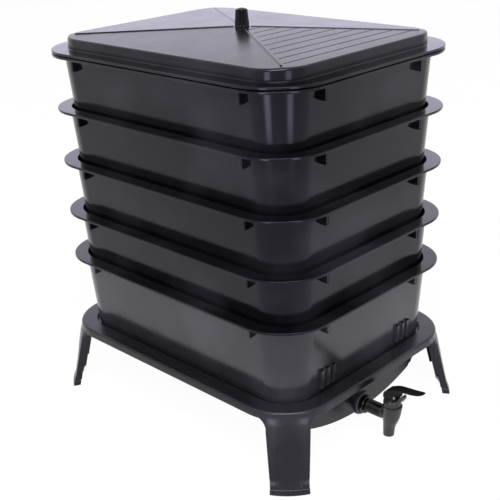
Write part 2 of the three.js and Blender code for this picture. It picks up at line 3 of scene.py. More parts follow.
import logging
import math
from collections.abc import Callable, Iterable, Sequence
from dataclasses import dataclass, field
from enum import Enum

import bmesh
import bpy
from mathutils import Matrix, Vector

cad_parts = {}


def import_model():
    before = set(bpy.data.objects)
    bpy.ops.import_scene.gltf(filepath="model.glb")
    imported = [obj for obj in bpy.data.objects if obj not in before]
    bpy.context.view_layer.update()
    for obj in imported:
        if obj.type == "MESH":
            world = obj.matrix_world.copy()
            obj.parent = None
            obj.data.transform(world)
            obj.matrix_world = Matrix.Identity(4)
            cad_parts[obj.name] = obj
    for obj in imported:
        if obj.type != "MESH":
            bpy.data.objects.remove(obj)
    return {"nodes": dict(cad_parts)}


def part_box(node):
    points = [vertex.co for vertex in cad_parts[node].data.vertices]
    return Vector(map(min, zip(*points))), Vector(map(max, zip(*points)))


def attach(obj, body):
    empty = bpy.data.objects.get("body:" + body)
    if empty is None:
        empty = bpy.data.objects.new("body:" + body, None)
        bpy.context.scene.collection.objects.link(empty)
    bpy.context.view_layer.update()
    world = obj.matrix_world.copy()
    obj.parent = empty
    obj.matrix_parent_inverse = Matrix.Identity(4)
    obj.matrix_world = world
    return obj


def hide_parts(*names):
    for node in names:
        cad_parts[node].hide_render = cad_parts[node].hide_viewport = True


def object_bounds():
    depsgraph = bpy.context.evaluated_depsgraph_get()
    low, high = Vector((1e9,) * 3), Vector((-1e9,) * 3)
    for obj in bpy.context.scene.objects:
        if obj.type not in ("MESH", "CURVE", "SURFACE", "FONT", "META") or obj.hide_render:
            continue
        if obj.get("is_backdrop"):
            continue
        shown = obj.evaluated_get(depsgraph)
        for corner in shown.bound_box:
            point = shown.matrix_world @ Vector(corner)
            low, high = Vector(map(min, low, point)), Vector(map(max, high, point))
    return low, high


Mesh = bmesh.types.BMesh
Vert = bmesh.types.BMVert
Edge = bmesh.types.BMEdge
Face = bmesh.types.BMFace

LOG = logging.getLogger("wormery")
MM = 0.001
CORNER_STEPS = 14
TURN_STEPS = 48
FINE_TURN_STEPS = 64
PIN_TURN_STEPS = 32
SHARP_ANGLE = math.radians(32)
MERGE_MM = 0.0005
QUARTERS = ((-1, -1), (-1, 1), (1, -1), (1, 1))
UNIT_LOW, UNIT_HIGH = (-0.5, -0.5, -0.5), (0.5, 0.5, 0.5)


class Side(Enum):
    """Walls that carry blocks, pads and rests."""

    SHORT = "short"
    LONG = "long"


class Corner(Enum):
    """Corners of the base, by the signs of X and Y."""

    FRONT_LEFT = (-1, -1)
    FRONT_RIGHT = (1, -1)
    BACK_LEFT = (-1, 1)
    BACK_RIGHT = (1, 1)


# Colour and node helpers


def linear(code: str) -> tuple[float, float, float, float]:
    """Turns an sRGB hex colour into linear RGBA.

    Args:
        code: Colour as "#rrggbb".

    Returns:
        Linear red, green, blue and an alpha of one.
    """
    parts = [int(code[i : i + 2], 16) / 255 for i in (1, 3, 5)]
    return (*(p / 12.92 if p <= 0.04045 else ((p + 0.055) / 1.055) ** 2.4 for p in parts), 1.0)


def empty_tree(owner: bpy.types.Material | bpy.types.World) -> bpy.types.NodeTree:
    """Clears the nodes of a material or world.

    Args:
        owner: Material or world.

    Returns:
        Its empty node tree.
    """
    owner.use_nodes = True
    owner.node_tree.nodes.clear()
    return owner.node_tree


def add_node(
    tree: bpy.types.NodeTree,
    kind: str,
    settings: dict[str, object] | None = None,
    values: dict[str | int, object] | None = None,
    links: dict[str | int, bpy.types.NodeSocket] | None = None,
) -> bpy.types.Node:
    """Adds a shader node with its settings, socket values and incoming links.

    Args:
        tree: Node tree that receives the node.
        kind: Type name of the node.
        settings: Attributes set on the node.
        values: Default values by input name or index.
        links: Sockets linked to the inputs by name or index.

    Returns:
        The new node.
    """
    node = tree.nodes.new(kind)
    for name, value in (settings or {}).items():
        setattr(node, name, value)
    for name, value in (values or {}).items():
        node.inputs[name].default_value = value
    for name, socket in (links or {}).items():
        tree.links.new(socket, node.inputs[name])
    return node


# Finishes


@dataclass(frozen=True)
class Plastic:
    """Injection-moulded thermoplastic with a faint grain, handling scuffs and settled dust.

    The real grain is finer than a pixel, so it is drawn as coarse as it has to be to show.
    """

    name: str
    colour: str
    scuffed: str
    roughness: float
    roughness_spread: float
    ior: float
    sheen_tint: str = "#ffffff"
    bloom: str = ""
    grain_mm: float = 1.4
    grain_depth_mm: float = 0.01
    wave_mm: float = 90.0
    wave_depth_mm: float = 0.12
    patch_mm: float = 55.0
    bloom_mm: float = 160.0
    streak_mm: float = 4.0
    streak_stretch: float = 0.12
    scuff_share: float = 0.05

    def build(self) -> bpy.types.Material:
        """Makes the material.

        Returns:
            The node material.
        """
        material = bpy.data.materials.new(self.name)
        tree = empty_tree(material)
        place = add_node(tree, "ShaderNodeTexCoord").outputs["Object"]
        upright = add_node(
            tree,
            "ShaderNodeMapping",
            values={"Scale": (1.0, 1.0, self.streak_stretch)},
            links={"Vector": place},
        ).outputs["Vector"]
        # Name, size in millimetres, detail, roughness and coordinates of each noise. The real
        # streaks are hair-fine scratches; they are drawn wider, so that a pixel can hold one.
        noises = [
            ("patches", self.patch_mm, 4.0, 0.6, place),
            ("grain", self.grain_mm, 2.0, 0.5, place),
            ("streaks", self.streak_mm, 3.0, 0.65, upright),
            ("wave", self.wave_mm, 1.0, 0.4, place),
        ]
        # Noise, the two values where its effect starts and ends, and the effect at each.
        gloss, matt = self.roughness - self.roughness_spread, self.roughness + self.roughness_spread
        effects = [
            ("streaks", 0.62, 0.78, 0.0, self.scuff_share),
            ("patches", 0.3, 0.7, gloss, matt),
        ]
        if self.bloom:
            noises.append(("film", self.bloom_mm, 2.0, 0.55, place))
            effects.append(("film", 0.46, 0.68, 0.0, 1.0))
        noise = {
            name: add_node(
                tree,
                "ShaderNodeTexNoise",
                values={"Scale": 1 / (size * MM), "Detail": detail, "Roughness": rough},
                links={"Vector": vector},
            ).outputs["Fac"]
            for name, size, detail, rough, vector in noises
        }
        effect = {
            name: add_node(
                tree,
                "ShaderNodeMapRange",
                values={"From Min": start, "From Max": end, "To Min": low, "To Max": high},
                links={"Value": noise[name]},
            ).outputs["Result"]
            for name, start, end, low, high in effects
        }
        shade = None
        for name, over in (("streaks", self.scuffed), ("film", self.bloom)):
            if name in effect:
                shade = add_node(
                    tree,
                    "ShaderNodeMix",
                    settings={"data_type": "RGBA"},
                    values={6: linear(self.colour), 7: linear(over)},
                    links={0: effect[name]} | ({6: shade} if shade else {}),
                ).outputs[2]
        rougher = add_node(
            tree,
            "ShaderNodeMath",
            settings={"operation": "ADD"},
            links={0: effect["patches"], 1: effect["streaks"]},
        ).outputs[0]
        normal = None
        for name, depth in (("wave", self.wave_depth_mm), ("grain", self.grain_depth_mm)):
            normal = add_node(
                tree,
                "ShaderNodeBump",
                values={"Strength": 1.0, "Distance": depth * MM},
                links={"Height": noise[name]} | ({"Normal": normal} if normal else {}),
            ).outputs["Normal"]
        shader = add_node(
            tree,
            "ShaderNodeBsdfPrincipled",
            values={"IOR": self.ior, "Metallic": 0.0, "Specular Tint": linear(self.sheen_tint)},
            links={"Base Color": shade, "Roughness": rougher, "Normal": normal},
        )
        add_node(tree, "ShaderNodeOutputMaterial", links={"Surface": shader.outputs["BSDF"]})
        return material


@dataclass(frozen=True)
class Steel:
    """Turned stainless steel with fine tool marks."""

    name: str = "turned stainless steel"
    colour: str = "#c4c5c7"
    roughness: float = 0.28
    roughness_spread: float = 0.08
    mark_mm: float = 0.5

    def build(self) -> bpy.types.Material:
        """Makes the material.

        Returns:
            The node material.
        """
        material = bpy.data.materials.new(self.name)
        tree = empty_tree(material)
        marks = add_node(
            tree,
            "ShaderNodeTexNoise",
            values={"Scale": 1 / (self.mark_mm * MM), "Detail": 2.0},
            links={"Vector": add_node(tree, "ShaderNodeTexCoord").outputs["Object"]},
        )
        gloss, matt = self.roughness - self.roughness_spread, self.roughness + self.roughness_spread
        rough = add_node(
            tree,
            "ShaderNodeMapRange",
            values={"From Min": 0.3, "From Max": 0.7, "To Min": gloss, "To Max": matt},
            links={"Value": marks.outputs["Fac"]},
        )
        shader = add_node(
            tree,
            "ShaderNodeBsdfPrincipled",
            values={"Base Color": linear(self.colour), "Metallic": 1.0},
            links={"Roughness": rough.outputs["Result"]},
        )
        add_node(tree, "ShaderNodeOutputMaterial", links={"Surface": shader.outputs["BSDF"]})
        return material


class Finish(Enum):
    """Finishes of the wormery.

    Each gives name, colour, scuffed colour, roughness, its spread, index of refraction and, where
    they differ from plain plastic, the tint of its sheen and the colour of its dusty film.
    """

    # Polypropylene from a polished mould: near black, mirrors its surroundings dimly and bluish.
    TRAY = Plastic(
        "moulded black polypropylene", "#070709", "#26262c", 0.15, 0.04, 1.42, "#b4b2cc", "#1d1d22"
    )
    # The same from a finely etched mould: a broad, soft sheen on the roof, with no clear mirror.
    ROOF = Plastic("satin black polypropylene", "#0c0c10", "#2a2a30", 0.25, 0.02, 1.45, "#c4c2da")
    # Lowest tray's walls: dark grey with a brighter sheen, painted light; the sheen is also
    # slightly wider.
    LOWEST = Plastic(
        "black polypropylene with painted light", "#1a1a1e", "#34343a", 0.19, 0.05, 1.56, "#f0f0ff", "#2b2b30"
    )
    # Handled and weathered polypropylene: the base looks duller, and its highlights spread wide.
    BASE = Plastic(
        "weathered black polypropylene",
        "#0d0d10",
        "#2a2a2e",
        0.27,
        0.05,
        1.46,
        "#d8d6ea",
        "#202024",
    )
    # Hard polished plastic: the blackest piece, with small sharp highlights.
    KNOB = Plastic("polished black ABS", "#050506", "#1c1c20", 0.09, 0.02, 1.48, "#9a9aa6")
    # Self-coloured acetal from a plain mould: even dark grey with a waxy sheen.
    TAP = Plastic("moulded dark grey acetal", "#242425", "#3c3c3d", 0.3, 0.05, 1.44)
    # Acetal coloured through: black, with a weak soft sheen along the paddle.
    LEVER = Plastic("moulded black acetal", "#09090a", "#1c1c1e", 0.24, 0.05, 1.4, "#a0a0a4")
    # Acetal smoothed by the thread's mould: black with bright lines on the crests.
    THREAD = Plastic("threaded black acetal", "#060607", "#161618", 0.12, 0.03, 1.5, "#c0c0c4")
    # Carbon-filled rubber: matt, hardly any highlight; its bluish dark grey is partly painted
    # highlight on the rim.
    RUBBER = Plastic("black nitrile rubber with painted highlight", "#30303c", "#44444e", 0.5, 0.08, 1.52)
    # Filled silicone: matt mid grey, softly lit.
    SILICONE = Plastic("grey silicone rubber", "#6f7072", "#8a8a8c", 0.55, 0.06, 1.41)
    # Bare turned metal: bright, broken up by the tool marks.
    STEEL = Steel()


# Mesh helpers, all in millimetres until a piece is finished


@dataclass(frozen=True)
class Plan:
    """Rounded rectangle seen from above."""

    half_x: float
    half_y: float
    radius: float

    @property
    def centre_x(self) -> float:
        """Distance of the corner centres from the middle along X."""
        return self.half_x - self.radius

    @property
    def centre_y(self) -> float:
        """Distance of the corner centres from the middle along Y."""
        return self.half_y - self.radius


@dataclass(frozen=True)
class Step:
    """One level of a swept wall: inset from the outline, height and edge rounding."""

    inset: float
    z: float
    rounding: float = 0.0


def edges_of(verts: Iterable[Vert]) -> list[Edge]:
    """Edges whose two ends are both in the given set.

    Args:
        verts: Vertices of the loop or patch.

    Returns:
        The edges between them.
    """
    chosen = set(verts)
    return list({e for v in chosen for e in v.link_edges if e.other_vert(v) in chosen})


def extrude(bm: Mesh, parts: Sequence[Edge] | Sequence[Face]) -> list[Vert]:
    """Extrudes edges, or the faces of one region, without moving them.

    Args:
        bm: Mesh.
        parts: Edges or faces.

    Returns:
        The new vertices.
    """
    if isinstance(parts[0], Face):
        made = bmesh.ops.extrude_face_region(bm, geom=parts)["geom"]
    else:
        made = bmesh.ops.extrude_edge_only(bm, edges=parts)["geom"]
    return [g for g in made if isinstance(g, Vert)]


def slice_mesh(
    bm: Mesh, spot: Sequence[float], normal: Sequence[float], clear: bool = False
) -> list[Edge]:
    """Cuts all of a mesh along a plane.

    Args:
        bm: Mesh.
        spot: Point of the plane.
        normal: Normal of the plane.
        clear: True to remove what lies on the normal's side.

    Returns:
        The edges of the cut.
    """
    geom = bm.verts[:] + bm.edges[:] + bm.faces[:]
    made = bmesh.ops.bisect_plane(bm, geom=geom, plane_co=spot, plane_no=normal, clear_outer=clear)
    return [g for g in made["geom_cut"] if isinstance(g, Edge)]


def first_ring(bm: Mesh, plan: Plan, step: Step) -> list[Vert]:
    """Starts a swept wall from a circle whose quarters move out to the corners.

    Args:
        bm: Mesh to add to.
        plan: Outline.
        step: Inset and height.

    Returns:
        The vertices of the ring.
    """
    count = 4 * CORNER_STEPS
    turn = Matrix.Rotation(math.pi / count, 4, "Z")
    radius = plan.radius - step.inset
    made = bmesh.ops.create_circle(bm, segments=count, radius=radius, matrix=turn)["verts"]
    for vert in made:
        vert.co.x += math.copysign(plan.centre_x, vert.co.x)
        vert.co.y += math.copysign(plan.centre_y, vert.co.y)
        vert.co.z = step.z
    return made


def next_ring(bm: Mesh, ring: Sequence[Vert], plan: Plan, step: Step) -> list[Vert]:
    """Extrudes a ring to the next level of a swept wall.

    Args:
        bm: Mesh to add to.
        ring: Vertices of the last ring.
        plan: Outline.
        step: Inset and height of the new ring.

    Returns:
        The vertices of the new ring.
    """
    verts = extrude(bm, edges_of(ring))
    for vert in verts:
        middle = (math.copysign(plan.centre_x, vert.co.x), math.copysign(plan.centre_y, vert.co.y))
        centre = Vector(middle)
        way = (vert.co.xy - centre).normalized()
        vert.co.x, vert.co.y = centre + way * (plan.radius - step.inset)
        vert.co.z = step.z
    return verts


def sweep(bm: Mesh, plan: Plan, steps: Sequence[Step], joined: bool = False) -> list[list[Vert]]:
    """Sweeps a wall section round the outline and rounds its edges.

    Args:
        bm: Mesh to add to.
        plan: Outline.
        steps: Levels of the section.
        joined: True when the last level meets the first.

    Returns:
        The vertices of each ring; only those of rings without a rounding are still there.
    """
    rings = [first_ring(bm, plan, steps[0])]
    for step in steps[1:]:
        rings.append(next_ring(bm, rings[-1], plan, step))
    if joined:
        bmesh.ops.bridge_loops(bm, edges=edges_of(rings[-1]) + edges_of(rings[0]))
    loops = [(edges_of(ring), step.rounding) for ring, step in zip(rings, steps)]
    for edges, rounding in loops:
        if rounding > 0:
            round_edges(bm, edges, rounding)
    return rings


def round_edges(bm: Mesh, edges: Sequence[Edge], radius: float, segments: int = 3) -> None:
    """Rounds edges with a bevel.

    Args:
        bm: Mesh.
        edges: Edges to round.
        radius: Width of the bevel.
        segments: Steps across the rounding.
    """
    bmesh.ops.bevel(
        bm,
        geom=list(edges),
        offset=radius,
        segments=segments,
        profile=0.5,
        affect="EDGES",
        clamp_overlap=True,
        material=-1,
    )


def join(bm: Mesh, part: Mesh, outward: bool = True) -> None:
    """Moves the contents of one mesh into another.

    Args:
        bm: Mesh that receives them.
        part: Mesh that is emptied and freed.
        outward: True to work out the outward side of its faces first.
    """
    if outward:
        bmesh.ops.recalc_face_normals(part, faces=part.faces)
    carrier = bpy.data.meshes.new("carrier")
    part.to_mesh(carrier)
    part.free()
    bm.from_mesh(carrier)
    bpy.data.meshes.remove(carrier)


def block(
    bm: Mesh,
    low: Sequence[float],
    high: Sequence[float],
    rounding: float,
    shape: Callable[[Vector], Vector] = Vector,
    place: Matrix | None = None,
) -> None:
    """Adds a box between two corners, with its edges rounded.

    Args:
        bm: Mesh to add to.
        low: Lowest corner.
        high: Highest corner.
        rounding: Width of the edge bevel.
        shape: Moves each corner before the edges are rounded.
        place: Matrix that moves the finished box.
    """
    part = bmesh.new()
    size = [h - l for l, h in zip(low, high)]
    middle = [(h + l) / 2 for l, h in zip(low, high)]
    fit = Matrix.Translation(middle) @ Matrix.Diagonal((*size, 1.0))
    for vert in bmesh.ops.create_cube(part, size=1.0, matrix=fit)["verts"]:
        vert.co = shape(vert.co)
    round_edges(part, part.edges[:], rounding, 2)
    if place is not None:
        bmesh.ops.transform(part, matrix=place, verts=part.verts)
    join(bm, part)


def turned(
    bm: Mesh,
    section: Sequence[tuple[float, float]],
    place: Matrix,
    steps: int = TURN_STEPS,
    rounding: dict[int, float] | None = None,
) -> None:
    """Spins a section of radius and height pairs into a turned shape.

    Args:
        bm: Mesh to add to.
        section: Radius and height of each point, first to last.
        place: Matrix that moves the turned shape from the Z axis to its place.
        steps: Steps of the full turn.
        rounding: Bevel widths by index of the section point.
    """
    part = bmesh.new()
    verts = [part.verts.new((radius, 0.0, z)) for radius, z in section]
    edges = [part.edges.new(pair) for pair in zip(verts, verts[1:])]
    bmesh.ops.spin(
        part,
        geom=verts + edges,
        cent=(0, 0, 0),
        axis=(0, 0, 1),
        angle=math.tau,
        steps=steps,
        use_merge=True,
    )
    bmesh.ops.remove_doubles(part, verts=part.verts, dist=0.001)
    bmesh.ops.recalc_face_normals(part, faces=part.faces)
    for index, width in (rounding or {}).items():
        radius, z = section[index]
        level = [v for v in part.verts if abs(v.co.z - z) < 0.001]
        loop = [v for v in level if abs(v.co.xy.length - radius) < 0.01]
        round_edges(part, edges_of(loop), width)
    bmesh.ops.transform(part, matrix=place, verts=part.verts)
    join(bm, part, outward=False)


def tube(inner: float, outer: float, low: float, high: float) -> list[tuple[float, float]]:
    """Closed section of a tube or ring, from its inner foot outward and up.

    Args:
        inner: Inner radius.
        outer: Outer radius.
        low: Lower end.
        high: Upper end.

    Returns:
        Radius and height of each point.
    """
    return [(inner, low), (outer, low), (outer, high), (inner, high), (inner, low)]


def spline(points: Sequence[tuple[float, float]], steps: int) -> list[tuple[float, float]]:
    """Smooth curve through the given points.

    Args:
        points: Points that the curve passes.
        steps: Steps between two points.

    Returns:
        The points of the curve, first to last.
    """
    spots = [Vector(p) for p in (points[0], *points, points[-1])]
    curve = []
    for before, start, end, after in zip(spots, spots[1:], spots[2:], spots[3:]):
        for step in range(steps):
            t = step / steps
            bend = (end - before) * t + (before * 2 - start * 5 + end * 4 - after) * t**2
            spot = start + (bend + (start * 3 - before - end * 3 + after) * t**3) / 2
            curve.append((spot.x, spot.y))
    return [*curve, tuple(points[-1])]


def clamp(value: float) -> float:
    """Holds a value between 0 and 1."""
    return min(max(value, 0.0), 1.0)


def ease(value: float) -> float:
    """Smooth step from 0 to 1 of a value that is held between them."""
    share = clamp(value)
    return share * share * (3 - 2 * share)


def shares(count: int) -> list[float]:
    """Equal shares of a whole, from the first to the whole itself."""
    return [index / count for index in range(1, count + 1)]


def polar(radius: float, angle: float, z: float) -> Vector:
    """Point at a distance and an angle from the Z axis."""
    return Vector((radius * math.cos(angle), radius * math.sin(angle), z))


def along_y(z: float, y: float = 0.0) -> Matrix:
    """Matrix that lays the Z axis along Y, at a height and a place along Y."""
    return Matrix.Translation((0, y, z)) @ Matrix.Rotation(-math.pi / 2, 4, "X")


def along_x(y: float, z: float) -> Matrix:
    """Matrix that lays the Z axis along X, at a place along Y and a height."""
    return Matrix.Translation((0, y, z)) @ Matrix.Rotation(math.pi / 2, 4, "Y")


@dataclass
class Workshop:
    """Turns finished meshes into pieces that ride on the CAD bodies."""

    stack_y: float
    count: int = 0
    materials: dict[Finish, bpy.types.Material] = field(default_factory=dict)

    def __post_init__(self) -> None:
        """Makes the material of each finish."""
        self.materials = {finish: finish.value.build() for finish in Finish}

    def finish(
        self,
        bm: Mesh,
        name: str,
        body: str,
        look: Finish,
        slot: str,
        nodes: Sequence[str],
        flip: bool = True,
    ) -> bpy.types.Object:
        """Scales a mesh to metres, moves it to its place and makes it a piece.

        Args:
            bm: Mesh in millimetres round the middle of the stack; it is freed.
            name: Name of the piece.
            body: CAD body that carries it.
            look: Finish.
            slot: Material slot of the record; not used.
            nodes: CAD nodes that it stands for.
            flip: True to work out the outward side of each face.

        Returns:
            The new object.
        """
        bmesh.ops.remove_doubles(bm, verts=bm.verts, dist=MERGE_MM)
        if flip:
            bmesh.ops.recalc_face_normals(bm, faces=bm.faces)
        bmesh.ops.translate(bm, verts=bm.verts, vec=(0, self.stack_y / MM, 0))
        bmesh.ops.scale(bm, verts=bm.verts, vec=(MM, MM, MM))
        for face in bm.faces:
            face.smooth = True
        for edge in bm.edges:
            if edge.is_manifold and edge.calc_face_angle(0.0) > SHARP_ANGLE:
                edge.smooth = False
        mesh = bpy.data.meshes.new(name)
        bm.to_mesh(mesh)
        bm.free()
        mesh.materials.append(self.materials[look])
        piece = bpy.data.objects.new(name, mesh)
        bpy.context.scene.collection.objects.link(piece)
        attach(piece, body)
        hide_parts(*nodes)
        normals = piece.modifiers.new("flat faces keep their shading", "WEIGHTED_NORMAL")
        normals.keep_sharp = True
        self.count += 1
        LOG.info("%s: %d faces on %s", name, len(mesh.polygons), body)
        return piece

    def refinish(
        self, piece: bpy.types.Object, look: Finish, chosen: Callable[[Vector, Vector], bool]
    ) -> None:
        """Gives some faces of a piece a second finish.

        Args:
            piece: Finished piece.
            look: Second finish.
            chosen: Picks a face by its middle, in millimetres from the stack, and its normal.
        """
        piece.data.materials.append(self.materials[look])
        for polygon in piece.data.polygons:
            middle = (polygon.center - Vector((0, self.stack_y, 0))) / MM
            if chosen(middle, polygon.normal):
                polygon.material_index = 1


# Trays


@dataclass
class Tray:
    """One nesting tray: drafted walls, flat rim, blocks, guide pads, rests and a slotted floor."""

    number: int
    body: str
    rim_z: float
    rest_depth: float
    plan: Plan = Plan(189.0, 245.0, 75.0)
    rim: float = 3.6
    overhang: float = 18.2
    wall: float = 2.2
    draft: float = 0.08
    depth: float = 119.0
    floor: float = 2.5
    floor_lap: float = 9.0
    floor_overlap: float = 0.1
    foot_rounding: float = 3.0
    inner_rounding: float = 2.0
    edge_rounding: float = 0.9
    root_rounding: float = 1.2
    block_reach: float = 7.0
    block_width: float = 4.6
    block_height: float = 18.5
    block_short: float = 98.5
    block_long: float = 164.0
    block_rounding: float = 0.7
    pad_centre: float = 86.0
    pad_width: float = 32.0
    pad_height: float = 27.0
    pad_top: float = 80.5
    pad_plate: float = 1.8
    pad_reach: float = 3.2
    pad_ribs: int = 3
    pad_rib_width: float = 6.0
    pad_pitch: float = 12.0
    pad_rounding: float = 0.6
    rest_short: float = 40.0
    rest_long: float = 95.0
    rest_width: float = 16.0
    rest_height: float = 6.0
    rest_overlap: float = 4.0
    rest_rounding: float = 0.5
    cells: tuple[float, float] = (23.3, 12.4)
    cell_field: tuple[float, float] = (150.0, 205.0)
    web: float = 4.0
    lowest: int = 5
    # How far under the rim the lowest tray's lighter copy of the plastic, painted light, begins.
    painted_light_edge: float = 0.5

    def inset(self, depth: float) -> float:
        """Inset of the outer wall face at a depth under the rim."""
        return self.overhang + self.draft * depth

    def build(self, shop: Workshop) -> None:
        """Makes the tray and puts it on its body.

        Args:
            shop: Makes the piece.
        """
        bm = bmesh.new()
        foot, top = self.rim_z - self.depth, self.rim_z + self.rim
        lap = self.inset(self.depth) + self.floor_lap
        steps = [
            Step(lap, foot),
            Step(self.inset(self.depth), foot, self.foot_rounding),
            Step(self.inset(0), self.rim_z, self.root_rounding),
            Step(0, self.rim_z, self.edge_rounding),
            Step(0, top, self.edge_rounding),
            Step(self.inset(-self.rim) + self.wall, top, self.edge_rounding),
            Step(
                self.inset(self.depth - self.floor) + self.wall,
                foot + self.floor,
                self.inner_rounding,
            ),
            Step(lap, foot + self.floor),
        ]
        sweep(bm, self.plan, steps, joined=True)
        self.add_floor(bm, foot)
        for sx, sy in QUARTERS:
            self.add_blocks(bm, sx, sy)
            self.add_pads(bm, sx, sy)
            self.add_rests(bm, sx, sy)
        name = f"tray_{self.number}"
        piece = shop.finish(
            bm, f"{name}_shell", self.body, Finish.TRAY, "black_polypropylene", [name], flip=False
        )
        # The lowest tray's walls get a lighter, shinier copy of the plastic: painted light.
        if self.number == self.lowest:
            limit = self.rim_z - self.painted_light_edge
            shop.refinish(piece, Finish.LOWEST, lambda middle, _: middle.z < limit)

    def add_floor(self, bm: Mesh, foot: float) -> None:
        """Adds the floor plate and cuts its drain slots.

        Args:
            bm: Mesh to add to.
            foot: Height of the underside.
        """
        part = bmesh.new()
        edge = self.inset(self.depth) + self.floor_lap - self.floor_overlap
        ring = first_ring(part, self.plan, Step(edge, foot))
        bmesh.ops.contextual_create(part, geom=edges_of(ring))
        for axis, (cell, half) in enumerate(zip(self.cells, self.cell_field)):
            count = int(half / cell)
            for index in range(-count, count + 1):
                normal = Vector((0, 0, 0))
                normal[axis] = 1
                slice_mesh(part, normal * index * cell, normal)
        # Only whole cells get a slot; those that the outline cuts stay closed.
        area = self.cells[0] * self.cells[1]
        cells = [f for f in part.faces if len(f.verts) == 4 and abs(f.calc_area() - area) < 1]
        bmesh.ops.inset_individual(part, faces=cells, thickness=self.web)
        bmesh.ops.delete(part, geom=cells, context="FACES")
        bmesh.ops.recalc_face_normals(part, faces=part.faces)
        up = part.faces[0].normal.z > 0
        bmesh.ops.solidify(part, geom=part.faces[:], thickness=self.floor if up else -self.floor)
        lowest = min(v.co.z for v in part.verts)
        bmesh.ops.translate(part, verts=part.verts, vec=(0, 0, foot - lowest))
        join(bm, part, outward=False)

    def on_wall(
        self,
        bm: Mesh,
        side: Side,
        sign: int,
        centre: float,
        width: float,
        insets: tuple[float, float, float],
        span: tuple[float, float],
        rounding: float,
    ) -> None:
        """Adds a block that grows from a wall.

        Args:
            bm: Mesh to add to.
            side: Short or long wall.
            sign: Which of the two walls.
            centre: Place along the wall.
            width: Width along the wall.
            insets: Insets of its root and of its face at the foot and the top.
            span: Heights of foot and top.
            rounding: Edge bevel.
        """
        half = self.plan.half_y if side is Side.SHORT else self.plan.half_x

        def place(co: Vector) -> Vector:
            """Moves a corner of the unit block to the wall.

            Args:
                co: Corner.

            Returns:
                Its place.
            """
            across = sign * (half - (insets[0] if co.y < 0 else insets[1 if co.z < 0 else 2]))
            along, z = centre + co.x * width, span[0 if co.z < 0 else 1]
            return Vector((along, across, z) if side is Side.SHORT else (across, along, z))

        block(bm, UNIT_LOW, UNIT_HIGH, rounding, place)

    def add_blocks(self, bm: Mesh, sx: int, sy: int) -> None:
        """Adds the two small blocks under the rim next to one corner.

        Args:
            bm: Mesh to add to.
            sx: Side of the corner along X.
            sy: Side of the corner along Y.
        """
        face = self.overhang - self.block_reach
        insets = (self.inset(self.block_height) + self.wall / 2, face, face)
        span = (self.rim_z - self.block_height, self.rim_z + self.rim / 2)
        common = (self.block_width, insets, span, self.block_rounding)
        self.on_wall(bm, Side.SHORT, sy, sx * self.block_short, *common)
        self.on_wall(bm, Side.LONG, sx, sy * self.block_long, *common)

    def add_pads(self, bm: Mesh, sx: int, sy: int) -> None:
        """Adds one fluted guide pad low on a short wall.

        Args:
            bm: Mesh to add to.
            sx: Side of the pad along X.
            sy: Which of the two walls.
        """
        foot = self.pad_top + self.pad_height
        span = (self.rim_z - foot, self.rim_z - self.pad_top)
        faces = [(self.pad_width, self.pad_plate, 0.0)]
        for rib in range(self.pad_ribs):
            shift = (rib - (self.pad_ribs - 1) / 2) * self.pad_pitch
            faces.append((self.pad_rib_width, self.pad_reach, shift))
        for width, reach, shift in faces:
            root = self.inset(self.pad_top) + self.wall / 2
            insets = (root, self.inset(foot) - reach, self.inset(self.pad_top) - reach)
            centre = sx * self.pad_centre + shift
            self.on_wall(bm, Side.SHORT, sy, centre, width, insets, span, self.pad_rounding)

    def add_rests(self, bm: Mesh, sx: int, sy: int) -> None:
        """Adds the two rests inside that carry the tray above.

        Args:
            bm: Mesh to add to.
            sx: Side of the corner along X.
            sy: Side of the corner along Y.
        """
        top = self.rim_z - self.rest_depth
        tip = self.inset(self.depth) + self.rest_overlap
        insets = (self.inset(self.rest_depth) + self.wall / 2, tip, tip)
        common = (self.rest_width, insets, (top - self.rest_height, top), self.rest_rounding)
        self.on_wall(bm, Side.SHORT, sy, sx * self.rest_short, *common)
        self.on_wall(bm, Side.LONG, sx, sy * self.rest_long, *common)


# Lid and knob


